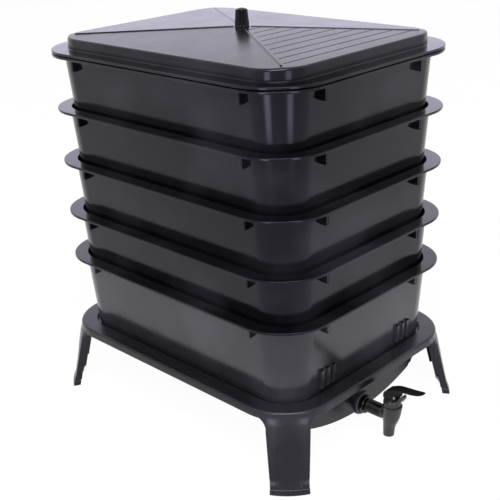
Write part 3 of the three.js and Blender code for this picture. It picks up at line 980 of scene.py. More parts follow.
@dataclass
class Lid:
    """Lid with a flat flange, upright wall, low hipped roof and grooves over the tap."""

    low: float
    plan: Plan = Plan(189.0, 245.0, 75.0)
    flange: float = 3.4
    flange_rounding: float = 0.9
    root_rounding: float = 1.2
    wall_inset: float = 24.0
    lean: float = 0.6
    wall_height: float = 15.7
    eave_x: float = 165.5
    eave_y: float = 236.7
    eave_rise: float = 15.5
    apex_rise: float = 25.5
    skin: float = 2.2
    lip_inset: float = 21.1
    lip_depth: float = 8.0
    eave_rounding: float = 3.4
    grooves: int = 9
    groove_start: float = 25.0
    groove_pitch: float = 21.2
    groove_inset: float = 6.0
    groove_width: float = 2.0
    groove_depth: float = 1.2
    ridge_start: float = 12.5
    ridge_end_x: float = 140.0
    ridge_foot: float = 1.6
    ridge_crest: float = 0.7
    ridge_height: float = 0.9
    ridge_root: float = 0.6
    ridge_rounding: float = 0.35
    boss_radius: float = 11.5
    boss_low: float = 19.6
    boss_bore: float = 2.3
    boss_rounding: float = 0.6
    nub_short: tuple[float, float] = (110.0, 234.9)
    nub_long: tuple[float, float] = (178.9, 165.0)
    nub_section: tuple[tuple[float, float], ...] = ((0, -1.3), (3, -1.3), (3, 1.0), (0, 1.0))
    nub_rounding: float = 0.5
    nub_steps: int = 16
    roof_edge: float = 1.5
    roof_tilt: float = 0.5
    groove_tilt: float = 0.97
    roof_tolerance: float = 0.05
    hip_tolerance: float = 0.02

    def roof(self, x: float, y: float, drop: float = 0.0) -> float:
        """Height of the roof at a place.

        Args:
            x: Place along X.
            y: Place along Y.
            drop: How far the surface lies under the outer roof.

        Returns:
            The height.
        """
        fall = self.apex_rise - self.eave_rise
        share = max(abs(x) / self.eave_x, abs(y) / self.eave_y)
        return self.low + self.flange + self.apex_rise - fall * share - drop

    def build(self, shop: Workshop) -> None:
        """Makes the lid and puts it on its body.

        Args:
            shop: Makes the piece.
        """
        bm = bmesh.new()
        top = self.low + self.flange
        eave_z = top + self.wall_height
        steps = [
            Step(self.wall_inset + self.lean + self.skin, eave_z - self.skin),
            Step(self.wall_inset + self.skin, self.low - self.lip_depth),
            Step(self.lip_inset, self.low - self.lip_depth),
            Step(self.lip_inset, self.low),
            Step(0, self.low, self.flange_rounding),
            Step(0, top, self.flange_rounding),
            Step(self.wall_inset, top, self.root_rounding),
            Step(self.wall_inset + self.lean, eave_z),
        ]
        rings = sweep(bm, self.plan, steps)
        eave = edges_of(rings[-1])
        for ring, drop in ((rings[0], self.skin), (rings[-1], 0.0)):
            self.align_hips(ring)
            for vert in ring:
                vert.co.z = self.roof(vert.co.x, vert.co.y, drop)
            self.close(bm, ring, drop)
        round_edges(bm, eave, self.eave_rounding, 4)
        self.cut_grooves(bm)
        bmesh.ops.recalc_face_normals(bm, faces=bm.faces)
        for sx, sy in QUARTERS:
            self.add_ridge(bm, sx, sy)
        boss_low, boss_high = top + self.boss_low, self.roof(0, 0, self.skin / 2)
        section = tube(self.boss_bore, self.boss_radius, boss_low, boss_high)
        turned(bm, section, Matrix.Identity(4), rounding={1: self.boss_rounding})
        for sx, sy in QUARTERS:
            for x, y in (self.nub_short, self.nub_long):
                place = Matrix.Translation((sx * x, sy * y, self.low))
                turned(bm, self.nub_section, place, self.nub_steps, {1: self.nub_rounding})
        piece = shop.finish(
            bm, "lid_shell", "lid_assembly", Finish.TRAY, "black_polypropylene", ["lid"], flip=False
        )
        limit, tilt = eave_z - self.roof_edge, self.roof_tilt
        shop.refinish(
            piece, Finish.ROOF, lambda middle, normal: middle.z > limit and normal.z > tilt
        )

    def align_hips(self, ring: Sequence[Vert]) -> None:
        """Moves the nearest vertex of each rounded corner onto the line of its hip.

        Args:
            ring: Vertices of a roof ring.
        """
        slope = self.eave_y / self.eave_x
        centre_x, centre_y = self.plan.centre_x, self.plan.centre_y
        for sx, sy in QUARTERS:
            quarter = [v for v in ring if v.co.x * sx > 0 and v.co.y * sy > 0]
            nearest = min(quarter, key=lambda v: abs(abs(v.co.y) - slope * abs(v.co.x)))
            radius = (nearest.co.xy - Vector((sx * centre_x, sy * centre_y))).length
            # Halves the quarter turn until the hip's place on it is exact.
            low, high = 0.0, math.pi / 2
            for _ in range(30):
                middle = (low + high) / 2
                x = centre_x + radius * math.cos(middle)
                y = centre_y + radius * math.sin(middle)
                low, high = (middle, high) if y < slope * x else (low, middle)
            nearest.co.x, nearest.co.y = sx * x, sy * y

    def close(self, bm: Mesh, ring: Sequence[Vert], drop: float) -> None:
        """Closes a roof ring with facets that meet at the middle, with sharp hips.

        Args:
            bm: Mesh.
            ring: Vertices of the eave.
            drop: How far the middle lies under the outer roof.
        """
        verts = extrude(bm, edges_of(ring))
        bmesh.ops.pointmerge(bm, verts=verts, merge_co=(0, 0, self.roof(0, 0, drop)))
        for edge in bm.edges:
            near, far = sorted((v.co for v in edge.verts), key=lambda c: c.xy.length)
            on_hip = abs(abs(far.x) / self.eave_x - abs(far.y) / self.eave_y) < 0.001
            if near.xy.length <= 0.01 and on_hip:
                edge.smooth = False

    def cut_grooves(self, bm: Mesh) -> None:
        """Sinks the thin grooves into the roof face over the tap.

        Args:
            bm: Mesh of the lid.
        """
        for index in range(self.grooves):
            y = -(self.groove_start + index * self.groove_pitch)
            half = self.eave_x * abs(y) / self.eave_y - self.groove_inset
            for strip, shift in ((False, self.groove_width / 2), (True, half)):
                for sign in (-1, 1):
                    faces = [f for f in bm.faces if self.on_front_roof(f, y, strip)]
                    geom = list({v for f in faces for v in f.verts})
                    geom += list({e for f in faces for e in f.edges}) + faces
                    spot = (sign * shift, 0, 0) if strip else (0, y + sign * shift, 0)
                    normal = (1, 0, 0) if strip else (0, 1, 0)
                    bmesh.ops.bisect_plane(bm, geom=geom, plane_co=spot, plane_no=normal)
            strip_faces = [f for f in bm.faces if self.on_front_roof(f, y, True)]
            floor = [f for f in strip_faces if abs(f.calc_center_median().x) < half]
            sunk = extrude(bm, floor)
            bmesh.ops.delete(bm, geom=floor, context="FACES")
            bmesh.ops.translate(bm, verts=sunk, vec=(0, 0, -self.groove_depth))

    def on_front_roof(self, face: Face, y: float, strip: bool) -> bool:
        """Tells whether a face lies on the outer roof face over the tap.

        Args:
            face: Face to test.
            y: Middle of a groove.
            strip: True to keep only faces inside the groove's strip.

        Returns:
            True where the face is wanted.
        """
        centre = face.calc_center_median()
        if abs(face.normal.z) < self.groove_tilt:
            return False
        heights = (abs(v.co.z - self.roof(v.co.x, v.co.y)) for v in face.verts)
        if any(height > self.roof_tolerance for height in heights):
            return False
        share_x, share_y = abs(centre.x) / self.eave_x, abs(centre.y) / self.eave_y
        if centre.y > 0 or share_y < share_x - self.hip_tolerance:
            return False
        return not strip or abs(centre.y - y) < self.groove_width / 2

    def add_ridge(self, bm: Mesh, sx: int, sy: int) -> None:
        """Adds the thin raised bead along one hip.

        Args:
            bm: Mesh of the lid.
            sx: Side of the hip along X.
            sy: Side of the hip along Y.
        """
        way = Vector((sx * self.eave_x, sy * self.eave_y)).normalized()
        side = Vector((-way.y, way.x))

        def place(co: Vector) -> Vector:
            """Moves a corner of the unit block onto the hip.

            Args:
                co: Corner.

            Returns:
                Its place.
            """
            run = self.ridge_start if co.x < 0 else self.ridge_end_x / abs(way.x)
            half = self.ridge_foot if co.z < 0 else self.ridge_crest
            rise = -self.ridge_root if co.z < 0 else self.ridge_height
            spot = way * run + side * math.copysign(half, co.y)
            return Vector((spot.x, spot.y, self.roof(*(way * run)) + rise))

        block(bm, UNIT_LOW, UNIT_HIGH, self.ridge_rounding, place)


@dataclass
class Knob:
    """Fluted, tapered knob with a domed top."""

    low: float
    base_radius: float = 10.45
    top_radius: float = 8.5
    height: float = 26.0
    crown: float = 3.0
    shoulder: float = 1.5
    foot_rounding: float = 0.5
    flutes: int = 12
    flute_depth: float = 1.3
    flute_foot: float = 1.0
    flute_fade_in: float = 2.5
    flute_over: float = 0.8
    flute_fade_out: float = 2.0
    flat_radius: float = 1.0
    turn_steps: int = 144
    side_steps: int = 12
    bend_steps: int = 5
    crown_steps: int = 6

    def build(self, shop: Workshop) -> None:
        """Makes the knob and puts it on the lid.

        Args:
            shop: Makes the piece.
        """
        bm = bmesh.new()
        side, foot, bend = self.height - self.crown, self.foot_rounding, self.shoulder
        section = [(0.0, 0.0), (self.base_radius - foot, 0.0), (self.base_radius, foot)]
        for share in shares(self.side_steps):
            radius = self.base_radius + (self.top_radius - self.base_radius) * share
            section.append((radius, foot + (side - foot) * share))
        flat = self.top_radius - bend
        for share in shares(self.bend_steps):
            angle = share * math.pi / 2
            section.append((flat + bend * math.cos(angle), side + bend * math.sin(angle)))
        for share in shares(self.crown_steps):
            rise = (self.crown - bend) * (1 - (1 - share) ** 2)
            section.append((flat * (1 - share), side + bend + rise))
        turned(bm, section, Matrix.Identity(4), self.turn_steps)
        for vert in bm.verts:
            radius = vert.co.xy.length
            if radius < self.flat_radius:
                continue
            fade = clamp((vert.co.z - self.flute_foot) / self.flute_fade_in)
            fade *= clamp((side + self.flute_over - vert.co.z) / self.flute_fade_out)
            wave = 0.5 + 0.5 * math.cos(self.flutes * math.atan2(vert.co.y, vert.co.x))
            vert.co.xy = vert.co.xy * ((radius - self.flute_depth * wave**3 * fade) / radius)
        bmesh.ops.translate(bm, verts=bm.verts, vec=(0, 0, self.low))
        shop.finish(
            bm, "knob_turned", "lid_assembly", Finish.KNOB, "gloss_black_plastic", ["lid_knob"]
        )


# Base


@dataclass
class CornerPiece:
    """Sizes that legs and feet share, and their way to a corner of the base."""

    corner: Corner
    plan: Plan
    bearing: float = 43.5
    splay: float = 0.22
    flush: float = 111.0
    half_low: float = 26.2
    depth: float = 8.5

    def face(self, z: float) -> float:
        """Distance of the splayed face from the corner centre at a height."""
        return self.plan.radius + self.splay * (self.flush - z)

    def to_corner(self, bm: Mesh) -> None:
        """Turns a mesh about the corner's centre and mirrors it to its corner.

        Args:
            bm: Mesh round the Z axis, facing along X.
        """
        turn = Matrix.Rotation(math.radians(self.bearing), 3, "Z")
        bmesh.ops.rotate(bm, verts=bm.verts, cent=(0, 0, 0), matrix=turn)
        bmesh.ops.translate(bm, verts=bm.verts, vec=(self.plan.centre_x, self.plan.centre_y, 0))
        sx, sy = self.corner.value
        bmesh.ops.scale(bm, verts=bm.verts, vec=(sx, sy, 1))
        if sx * sy < 0:
            bmesh.ops.reverse_faces(bm, faces=bm.faces)


@dataclass
class Leg(CornerPiece):
    """Splayed corner leg: a curved panel with side walls and a shallow recess."""

    top: float = 109.8
    deck: float = 113.0
    blend: float = 14.0
    skirt_low: float = 100.5
    fillet: float = 12.0
    half_high: float = 32.0
    wall: float = 3.0
    foot: float = 2.6
    proud: float = 0.05
    heel: float = 1.0
    heel_top: float = 20.0
    heel_run: float = 7.0
    side_rounding: float = 1.6
    side_top: float = 108.0
    side_hidden: float = 4.0
    core_inset: float = 3.0
    core_wall: float = 2.5
    core_depth: float = 15.0
    core_low_depth: float = 11.0
    core_step: float = 33.0
    core_foot: float = 8.8
    core_front: float = 1.5
    core_rounding: float = 0.4
    core_gap: float = 1.0
    recess_half: float = 16.5
    recess_top: float = 72.0
    recess_crown: float = 7.0
    recess_low: float = 9.0
    recess_depth: float = 1.5
    recess_side_run: float = 2.0
    recess_top_run: float = 2.5
    recess_low_run: float = 2.0
    columns: int = 36
    rows: int = 44

    def half(self, z: float) -> float:
        """Half width of the panel at a height, without the fillet."""
        return self.half_low + (self.half_high - self.half_low) * z / self.deck

    def flare(self, z: float) -> float:
        """Extra half width where the leg runs into the skirt."""
        rise = min(max(z - (self.skirt_low - self.fillet), 0.0), self.fillet)
        return self.fillet - math.sqrt(self.fillet**2 - rise**2)

    def reach(self, z: float, s: float) -> float:
        """Distance of the outer face from the corner centre.

        Args:
            z: Height.
            s: Place across the panel, from its middle.

        Returns:
            The radius.
        """
        out = self.splay * (self.flush - z) * ease((self.top - z) / self.blend)
        out *= 1 - ease((abs(s) - self.half(z)) / self.fillet)
        swell = self.heel * ease((self.heel_top - z) / self.heel_run)
        return self.plan.radius + self.proud + out + swell - self.recess(z, s)

    def recess(self, z: float, s: float) -> float:
        """Depth of the shallow recess at a place.

        Args:
            z: Height.
            s: Place across the panel, from its middle.

        Returns:
            The depth.
        """
        across = (self.recess_half - abs(s)) / self.recess_side_run
        crown = self.recess_crown * (abs(s) / self.recess_half) ** 2
        up = (self.recess_top - crown - z) / self.recess_top_run
        down = (z - self.recess_low) / self.recess_low_run
        return self.recess_depth * ease(min(across, up, down))

    def build(self) -> Mesh:
        """Makes the leg at its corner.

        Returns:
            The mesh in millimetres round the middle of the stack.
        """
        bm = bmesh.new()
        bmesh.ops.create_grid(bm, x_segments=self.columns, y_segments=self.rows, size=1.0)
        sides = [v for v in bm.verts if abs(v.co.x) > 0.9999]
        for vert in bm.verts:
            z = self.foot + (self.top - self.foot) * (vert.co.y + 1) / 2
            s = vert.co.x * (self.half(z) + self.flare(z))
            vert.co = polar(self.reach(z, s), s / self.face(z), z)
        edges = [e for e in edges_of(sides) if e.is_boundary]
        for vert in extrude(bm, edges):
            radius = vert.co.xy.length
            vert.co.xy = vert.co.xy * ((radius - self.depth) / radius)
            if vert.co.z > self.skirt_low - self.side_hidden:
                vert.co.z = min(vert.co.z, self.side_top)
        round_edges(bm, edges, self.side_rounding)
        bmesh.ops.recalc_face_normals(bm, faces=bm.faces)
        outward = sum(f.normal.xy.dot(f.calc_center_median().xy) * f.calc_area() for f in bm.faces)
        if outward < 0:
            bmesh.ops.reverse_faces(bm, faces=bm.faces)
        bmesh.ops.solidify(bm, geom=bm.faces[:], thickness=self.wall)
        for side in (-1, 1):
            self.add_core(bm, side)
        self.to_corner(bm)
        return bm

    def add_core(self, bm: Mesh, side: int) -> None:
        """Adds one side wall of the narrower box behind the panel.

        Args:
            bm: Mesh of the leg, before it turns to its corner.
            side: Which of the two walls.
        """
        outline = [
            (-self.core_front, self.core_foot),
            (-self.core_low_depth, self.core_foot),
            (-self.core_low_depth, self.core_step),
            (-self.core_depth, self.core_step),
            (-self.core_depth, self.top - self.core_gap),
            (-self.core_front, self.top - self.core_gap),
        ]
        part = bmesh.new()
        face = part.faces.new([part.verts.new((0, back, z)) for back, z in outline])
        bmesh.ops.translate(part, verts=extrude(part, [face]), vec=(self.core_wall, 0, 0))
        bmesh.ops.recalc_face_normals(part, faces=part.faces)
        round_edges(part, part.edges[:], self.core_rounding, 2)
        for vert in part.verts:
            z = vert.co.z
            angle = side * (self.half(z) - self.core_inset - vert.co.x) / self.face(z)
            vert.co = polar(self.face(z) + vert.co.y, angle, z)
        join(bm, part)


@dataclass
class Foot(CornerPiece):
    """Moulded foot that slips over the end of a leg."""

    height: float = 8.5
    skin: float = 1.45
    rounding: float = 1.2
    fold: float = 0.8
    columns: int = 18

    def build(self, shop: Workshop) -> None:
        """Makes the foot and puts it on the base.

        Args:
            shop: Makes the piece.
        """
        bm = bmesh.new()
        bmesh.ops.create_grid(bm, x_segments=self.columns, y_segments=1, size=1.0)
        outer = self.face(0) + self.skin
        inner = self.face(0) - self.depth - self.skin
        for vert in bm.verts:
            angle = vert.co.x * (self.half_low + self.skin) / self.face(0)
            vert.co = polar(outer if vert.co.y > 0 else inner, angle, 0)
        for vert in extrude(bm, bm.faces[:]):
            radius = vert.co.xy.length
            vert.co.xy = vert.co.xy * ((radius - self.splay * self.height) / radius)
            vert.co.z = self.height
        bmesh.ops.recalc_face_normals(bm, faces=bm.faces)
        sharp = [e for e in bm.edges if e.calc_face_angle(0.0) > self.fold]
        round_edges(bm, sharp, self.rounding)
        self.to_corner(bm)
        name = self.corner.name.lower()
        node = f"foot_cap_{name}"
        shop.finish(bm, f"foot_{name}", "base", Finish.BASE, "black_polypropylene", [node])


@dataclass
class Base:
    """Base moulding: deck with skirt and well, rounded sump, tap boss and four legs."""

    plan: Plan = Plan(191.0, 247.0, 77.0)
    deck: float = 113.0
    deck_wall: float = 2.6
    skirt: float = 12.5
    skirt_rounding: float = 3.4
    edge_rounding: float = 0.8
    mouth_rounding: float = 1.2
    opening: float = 24.9
    opening_draft: float = 0.4
    opening_wall: float = 2.5
    ledge: float = 106.7
    ledge_width: float = 10.0
    sump_inset: float = 33.0
    sump_wall: float = 2.5
    sump_top: float = 105.5
    sump_low: float = 37.0
    sump_arc: float = 330.0
    sump_rounding: float = 5.0
    slices: int = 44
    tap_z: float = 46.7
    boss_face: float = -214.7
    boss_radius: float = 18.5
    boss_bore: float = 9.8
    boss_wall: float = 3.0
    boss_rounding: float = 0.9
    cup_length: float = 30.0
    cup_rounding: float = 1.5
    cup_lap: float = 1.0

    def build(self, shop: Workshop) -> None:
        """Makes the base moulding and its feet.

        Args:
            shop: Makes the pieces.
        """
        bm = bmesh.new()
        under = self.deck - self.deck_wall
        well = self.opening - self.opening_wall
        mouth = self.opening + self.opening_draft
        steps = [
            Step(0, self.deck - self.skirt, self.edge_rounding),
            Step(0, self.deck, self.skirt_rounding),
            Step(self.opening, self.deck, self.mouth_rounding),
            Step(mouth, self.ledge),
            Step(mouth + self.ledge_width, self.ledge),
            Step(mouth + self.ledge_width, self.ledge - self.opening_wall),
            Step(well, self.ledge - self.opening_wall, self.edge_rounding),
            Step(well, under),
            Step(self.deck_wall, under),
            Step(self.deck_wall, self.deck - self.skirt),
        ]
        sweep(bm, self.plan, steps, joined=True)
        bmesh.ops.recalc_face_normals(bm, faces=bm.faces)
        self.add_sump(bm)
        self.add_boss(bm)
        for corner in Corner:
            join(bm, Leg(corner, self.plan).build(), outward=False)
        node = "base_stand"
        shop.finish(
            bm, "base_moulding", "base", Finish.BASE, "black_polypropylene", [node], flip=False
        )
        for corner in Corner:
            Foot(corner, self.plan).build(shop)

    def add_sump(self, bm: Mesh) -> None:
        """Adds the trough-shaped sump.

        Args:
            bm: Mesh of the base.
        """
        part = bmesh.new()
        ring = first_ring(part, self.plan, Step(self.sump_inset, 0))
        bmesh.ops.contextual_create(part, geom=edges_of(ring))
        half = self.plan.half_x - self.sump_inset
        for index in range(1, self.slices):
            slice_mesh(part, (half * (2 * index / self.slices - 1), 0, 0), (1, 0, 0))
        for vert in part.verts:
            rise = self.sump_arc - math.sqrt(self.sump_arc**2 - vert.co.x**2)
            vert.co.z = self.sump_low + rise
        rim = [e for e in part.edges if e.is_boundary]
        for vert in extrude(part, rim):
            vert.co.z = self.sump_top
        round_edges(part, rim, self.sump_rounding, 4)
        bmesh.ops.recalc_face_normals(part, faces=part.faces)
        lowest = min(part.faces, key=lambda f: f.calc_center_median().z)
        if lowest.normal.z > 0:
            bmesh.ops.reverse_faces(part, faces=part.faces)
        bmesh.ops.solidify(part, geom=part.faces[:], thickness=self.sump_wall)
        join(bm, part, outward=False)

    def add_boss(self, bm: Mesh) -> None:
        """Adds the round boss that takes the tap, and the cup behind it.

        Args:
            bm: Mesh of the base.
        """
        place = along_y(self.tap_z, self.boss_face)
        plate = tube(self.boss_bore, self.boss_radius, 0.0, self.boss_wall)
        turned(bm, plate, place, FINE_TURN_STEPS, {1: self.boss_rounding})
        inner, mouth = self.boss_radius - self.sump_wall, self.boss_wall - self.cup_lap
        section = [
            (inner, mouth),
            (self.boss_radius, mouth),
            (self.boss_radius, self.cup_length),
            (0.0, self.cup_length),
            (0.0, self.cup_length - self.sump_wall),
            (inner, self.cup_length - self.sump_wall),
            (inner, mouth),
        ]
        cup = bmesh.new()
        turned(cup, section, place, FINE_TURN_STEPS, {2: self.cup_rounding})
        floor = (0, 0, self.sump_low + self.sump_wall / 2)
        rim = slice_mesh(cup, floor, (0, 0, 1), clear=True)
        bmesh.ops.holes_fill(cup, edges=rim, sides=0)
        join(bm, cup)


# Tap


@dataclass
class Tap:
    """Drain tap: threaded shank, tapered barrel with spout, bonnet and thumb lever."""

    z: float = 46.7
    face: float = -214.7
    # Bore, radius and the two faces of the washer.
    washer: tuple[float, float, float, float] = (9.8, 17.0, -2.9, -0.3)
    washer_rounding: float = 0.7
    barrel_y: float = -269.0
    barrel_top: float = 63.7
    barrel_radius: float = 13.9
    # Height and radius of the barrel's levels, from the spout's mouth up.
    levels: tuple[tuple[float, float], ...] = (
        (13.0, 7.4),
        (13.6, 8.0),
        (19.0, 8.2),
        (26.5, 8.7),
        (31.5, 9.5),
        (37.5, 10.9),
        (44.5, 12.3),
        (53.0, 13.2),
        (59.0, 13.5),
        (60.0, 13.9),
        (63.7, 13.9),
    )
    # Radius and end height of the bores at the top and in the spout.
    top_bore: tuple[float, float] = (9.0, 40.0)
    spout_bore: tuple[float, float] = (5.2, 31.0)
    spout_radius: float = 8.0
    shank_radius: float = 9.5
    shank_bore: float = 5.5
    shank_in: float = 17.6
    shank_lap: float = 6.0
    thread_pitch: float = 3.2
    thread_end: float = -251.5
    thread_stop: float = 17.0
    # Crest and root of the thread inside and outside the sump, from the shank's radius.
    inside_root: float = 0.9
    outside_root: float = 0.7
    outside_crest: float = 0.6
    # Shares of the pitch where a crest starts and ends.
    inside_crest_at: float = 0.45
    outside_crest_at: tuple[float, float] = (0.3, 0.55)
    shank_chamfer: float = 1.2
    shank_lead: float = 1.0
    collar_radius: float = 13.5
    collar_chamfer: float = 1.0
    collar_root: float = 0.8
    collar_span: tuple[float, float] = (3.2, 10.2)
    stem_y: float = -268.0
    stem_bore: float = 2.8
    bonnet_gap: float = 0.3
    spigot_radius: float = 8.7
    spigot_depth: float = 6.0
    cap_radius: float = 12.6
    cap_side: float = 7.5
    cap_height: float = 10.0
    cap_shoulder: float = 1.0
    cap_ribs: int = 20
    cap_rib: float = 0.6
    cap_rib_root: float = 0.7
    cap_rib_span: tuple[float, float] = (0.8, 7.0)
    cap_rib_rounding: float = 0.2
    neck_foot: float = 8.0
    neck_radius: float = 7.8
    neck_top: float = 75.6
    pin_y: float = -276.0
    pin_z: float = 81.5
    lug_half: float = 2.8
    lug_radius: float = 3.0
    lug_rise: float = 8.0
    lug_rounding: float = 0.4
    horn_half: float = 6.0
    horn_rounding: float = 0.9
    lever_half: float = 8.0
    lever_inside: float = 5.8
    lever_rounding: float = 1.3
    hub_radius: float = 4.2
    hub_inside: float = 3.1
    hub_lap: float = 0.1
    pin_radius: float = 1.6
    web_lap: float = 0.05
    web_drop: float = 0.02
    # Bevel of the cap's lower and upper rim, by point of its section.
    cap_roundings: dict[int, float] = field(default_factory=lambda: {3: 0.6, 4: 0.8})

    def build(self, shop: Workshop) -> None:
        """Makes the visible pieces of the tap.

        Args:
            shop: Makes the pieces.
        """
        bm = bmesh.new()
        # The washer's rubber colour is partly painted highlight: a lighter bluish grey for the lit
        # arc of its rim.
        rims = {1: self.washer_rounding, 2: self.washer_rounding}
        turned(bm, tube(*self.washer), along_y(self.z, self.face), FINE_TURN_STEPS, rims)
        node = "tap_outer_washer"
        shop.finish(bm, "tap_sealing_washer", "base", Finish.RUBBER, "black_rubber", [node])
        self.build_body(shop)
        self.build_bonnet(shop)
        self.build_lever(shop)

    def build_body(self, shop: Workshop) -> None:
        """Makes shank, collar, barrel and spout as one moulding.

        Args:
            shop: Makes the piece.
        """
        bm, part = bmesh.new(), bmesh.new()
        z, before = self.levels[0]
        last_y = self.barrel_y + self.barrel_radius - before
        ring = bmesh.ops.create_circle(part, segments=TURN_STEPS, radius=before)["verts"]
        bmesh.ops.translate(part, verts=ring, vec=(0, last_y, z))
        mouth = edges_of(ring)
        for z, radius in self.levels[1:]:
            ring = extrude(part, edges_of(ring))
            y = self.barrel_y + self.barrel_radius - radius
            for vert in ring:
                vert.co.x *= radius / before
                vert.co.y = y + (vert.co.y - last_y) * radius / before
                vert.co.z = z
            last_y, before = y, radius
        spout_y = self.barrel_y + self.barrel_radius - self.spout_radius
        self.close_bore(part, edges_of(ring), self.stem_y, *self.top_bore)
        self.close_bore(part, mouth, spout_y, *self.spout_bore)
        join(bm, part)
        self.add_shank(bm)
        piece = shop.finish(
            bm, "tap_moulding", "base", Finish.TAP, "tap_plastic", ["tap_body"], flip=False
        )

        def on_shank(middle: Vector, _: Vector) -> bool:
            """Tells whether a face lies on the shank or its collar.

            Args:
                middle: Middle of the face.

            Returns:
                True on the shank.
            """
            radius = math.hypot(middle.x, middle.z - self.z)
            return middle.y > self.thread_end and radius < self.collar_radius + 1.0

        shop.refinish(piece, Finish.THREAD, on_shank)

    def close_bore(
        self, part: Mesh, rim: Sequence[Edge], y: float, radius: float, end_z: float
    ) -> None:
        """Turns a rim inward to a bore and closes the bore's end.

        Args:
            part: Mesh of the barrel.
            rim: Edges of the open rim.
            y: Place of the bore's axis.
            radius: Radius of the bore.
            end_z: Height of its end.
        """
        mouth = extrude(part, rim)
        middle = sum((v.co for v in mouth), Vector()) / len(mouth)
        for vert in mouth:
            way = (vert.co.xy - middle.xy).normalized()
            vert.co.xy = Vector((0, y)) + way * radius
        end = extrude(part, edges_of(mouth))
        for vert in end:
            vert.co.z = end_z
        bmesh.ops.contextual_create(part, geom=edges_of(end))

    def add_shank(self, bm: Mesh) -> None:
        """Adds the threaded shank with its collar, from inside the sump to the barrel.

        Args:
            bm: Mesh of the tap.
        """
        pitch, radius, collar = self.thread_pitch, self.shank_radius, self.collar_radius
        inner, crest = self.face + self.shank_in, radius + self.outside_crest
        section = [(self.shank_bore, inner), (radius - self.shank_chamfer, inner)]
        y = inner - self.shank_lead
        while y > self.face + self.shank_lead:
            section.append((radius - self.inside_root, y))
            section.append((radius, y - pitch * self.inside_crest_at))
            y -= pitch
        collar_in, collar_out = (self.face - span for span in self.collar_span)
        section += [
            (radius, collar_in + 0.1),
            (collar, collar_in),
            (collar, collar_out + self.collar_chamfer),
            (collar - self.collar_chamfer, collar_out),
            (crest, collar_out),
        ]
        y = collar_out - self.collar_root
        while y > self.barrel_y + self.thread_stop:
            section.append((radius - self.outside_root, y))
            section += [(crest, y - pitch * share) for share in self.outside_crest_at]
            y -= pitch
        outer = self.barrel_y + self.shank_lap
        section += [(radius, y), (radius, outer), (self.shank_bore, outer), section[0]]
        turned(bm, section, along_y(self.z))

    def build_bonnet(self, shop: Workshop) -> None:
        """Makes the bonnet with its neck, pin lug and finger rest.

        Args:
            shop: Makes the piece.
        """
        bm = bmesh.new()
        low, radius = self.barrel_top + self.bonnet_gap, self.cap_radius
        section = [
            (self.stem_bore, low - self.spigot_depth),
            (self.spigot_radius, low - self.spigot_depth),
            (self.spigot_radius, low),
            (radius, low),
            (radius, low + self.cap_side),
            (radius - self.cap_shoulder, low + self.cap_height),
            (self.neck_foot, low + self.cap_height),
            (self.neck_radius, self.neck_top),
            (self.stem_bore, self.neck_top),
            (self.stem_bore, low - self.spigot_depth),
        ]
        place = Matrix.Translation((0, self.stem_y, 0))
        turned(bm, section, place, rounding=self.cap_roundings)
        rib_low = (radius - self.cap_rib_root, -self.cap_rib, low + self.cap_rib_span[0])
        rib_high = (radius, self.cap_rib, low + self.cap_rib_span[1])
        for index in range(self.cap_ribs):
            spot = place @ Matrix.Rotation(index * math.tau / self.cap_ribs, 4, "Z")
            block(bm, rib_low, rib_high, self.cap_rib_rounding, place=spot)
        lug, reach = self.lug_half, self.lug_radius
        lug_low = (-lug, self.pin_y - reach, low + self.lug_rise)
        block(bm, lug_low, (lug, self.pin_y + reach, self.pin_z), self.lug_rounding)
        eye = tube(0, reach, -lug, lug)[:4]
        turned(bm, eye, along_x(self.pin_y, self.pin_z), PIN_TURN_STEPS)
        # Finger rest in side view: distance in front of the pin and height.
        horn = spline([(-4, 71), (3.5, 71), (8.6, 74.6), (12.1, 80.6)], 5)
        horn += spline([(12.3, 83), (11.6, 84.8), (9.8, 85.1)], 4)
        horn += spline([(8.6, 84.2), (6.2, 80.5), (4.8, 77.2), (2.5, 75.6), (-4, 75.6)], 5)
        self.add_slab(bm, horn, (-self.horn_half, self.horn_half), self.horn_rounding)
        shop.finish(bm, "tap_bonnet_cap", "base", Finish.TAP, "tap_plastic", ["tap_bonnet"])

    def add_slab(
        self,
        bm: Mesh,
        outline: Sequence[tuple[float, float]],
        ends: Sequence[float],
        rounding: float,
    ) -> None:
        """Adds a slab cut to a side view, with the rims of its outer sides rounded.

        Args:
            bm: Mesh to add to.
            outline: Distance in front of the pin and height of each point.
            ends: Lower and upper end along X.
            rounding: Bevel of the rims that lie furthest out.
        """
        low, high = ends
        part = bmesh.new()
        verts = [part.verts.new((low, self.pin_y - ahead, z)) for ahead, z in outline]
        face = part.faces.new(verts)
        bmesh.ops.translate(part, verts=extrude(part, [face]), vec=(high - low, 0, 0))
        bmesh.ops.recalc_face_normals(part, faces=part.faces)
        furthest = max(abs(low), abs(high)) - 0.01
        rim = [e for e in part.edges if all(abs(v.co.x) > furthest for v in e.verts)]
        if rounding > 0:
            round_edges(part, rim, rounding)
        join(bm, part, outward=False)

    def build_lever(self, shop: Workshop) -> None:
        """Makes the thumb lever: a hollow hood over the stem that runs out into a paddle.

        Args:
            shop: Makes the piece.
        """
        # Outlines in side view: distance in front of the pin and height.
        back = [(-18.3, 76.5), (-18.3, 81.5), (-17.1, 85.1), (-14, 88.4), (-9, 91)]
        front = [(-3, 93.6), (5, 96), (14, 97.9), (26, 99), (36, 100.6), (42, 102.2), (45.4, 103.3)]
        under = [(46, 102.8), (45, 101.6), (41, 99.6), (36, 97.9), (27, 96), (15, 94.2), (8.5, 93)]
        notch = [(6, 91.6), (5, 89), (4.5, 86.4)]
        hub = [(4.2, 81.5), (3, 78.6), (0, 77.3), (-4, 76.9), (-9, 76.5)]
        room = [(-3, 88.2), (-8.5, 88.2), (-12.6, 87), (-14.9, 84.4), (-16.1, 81.5), (-16.1, 76.6)]
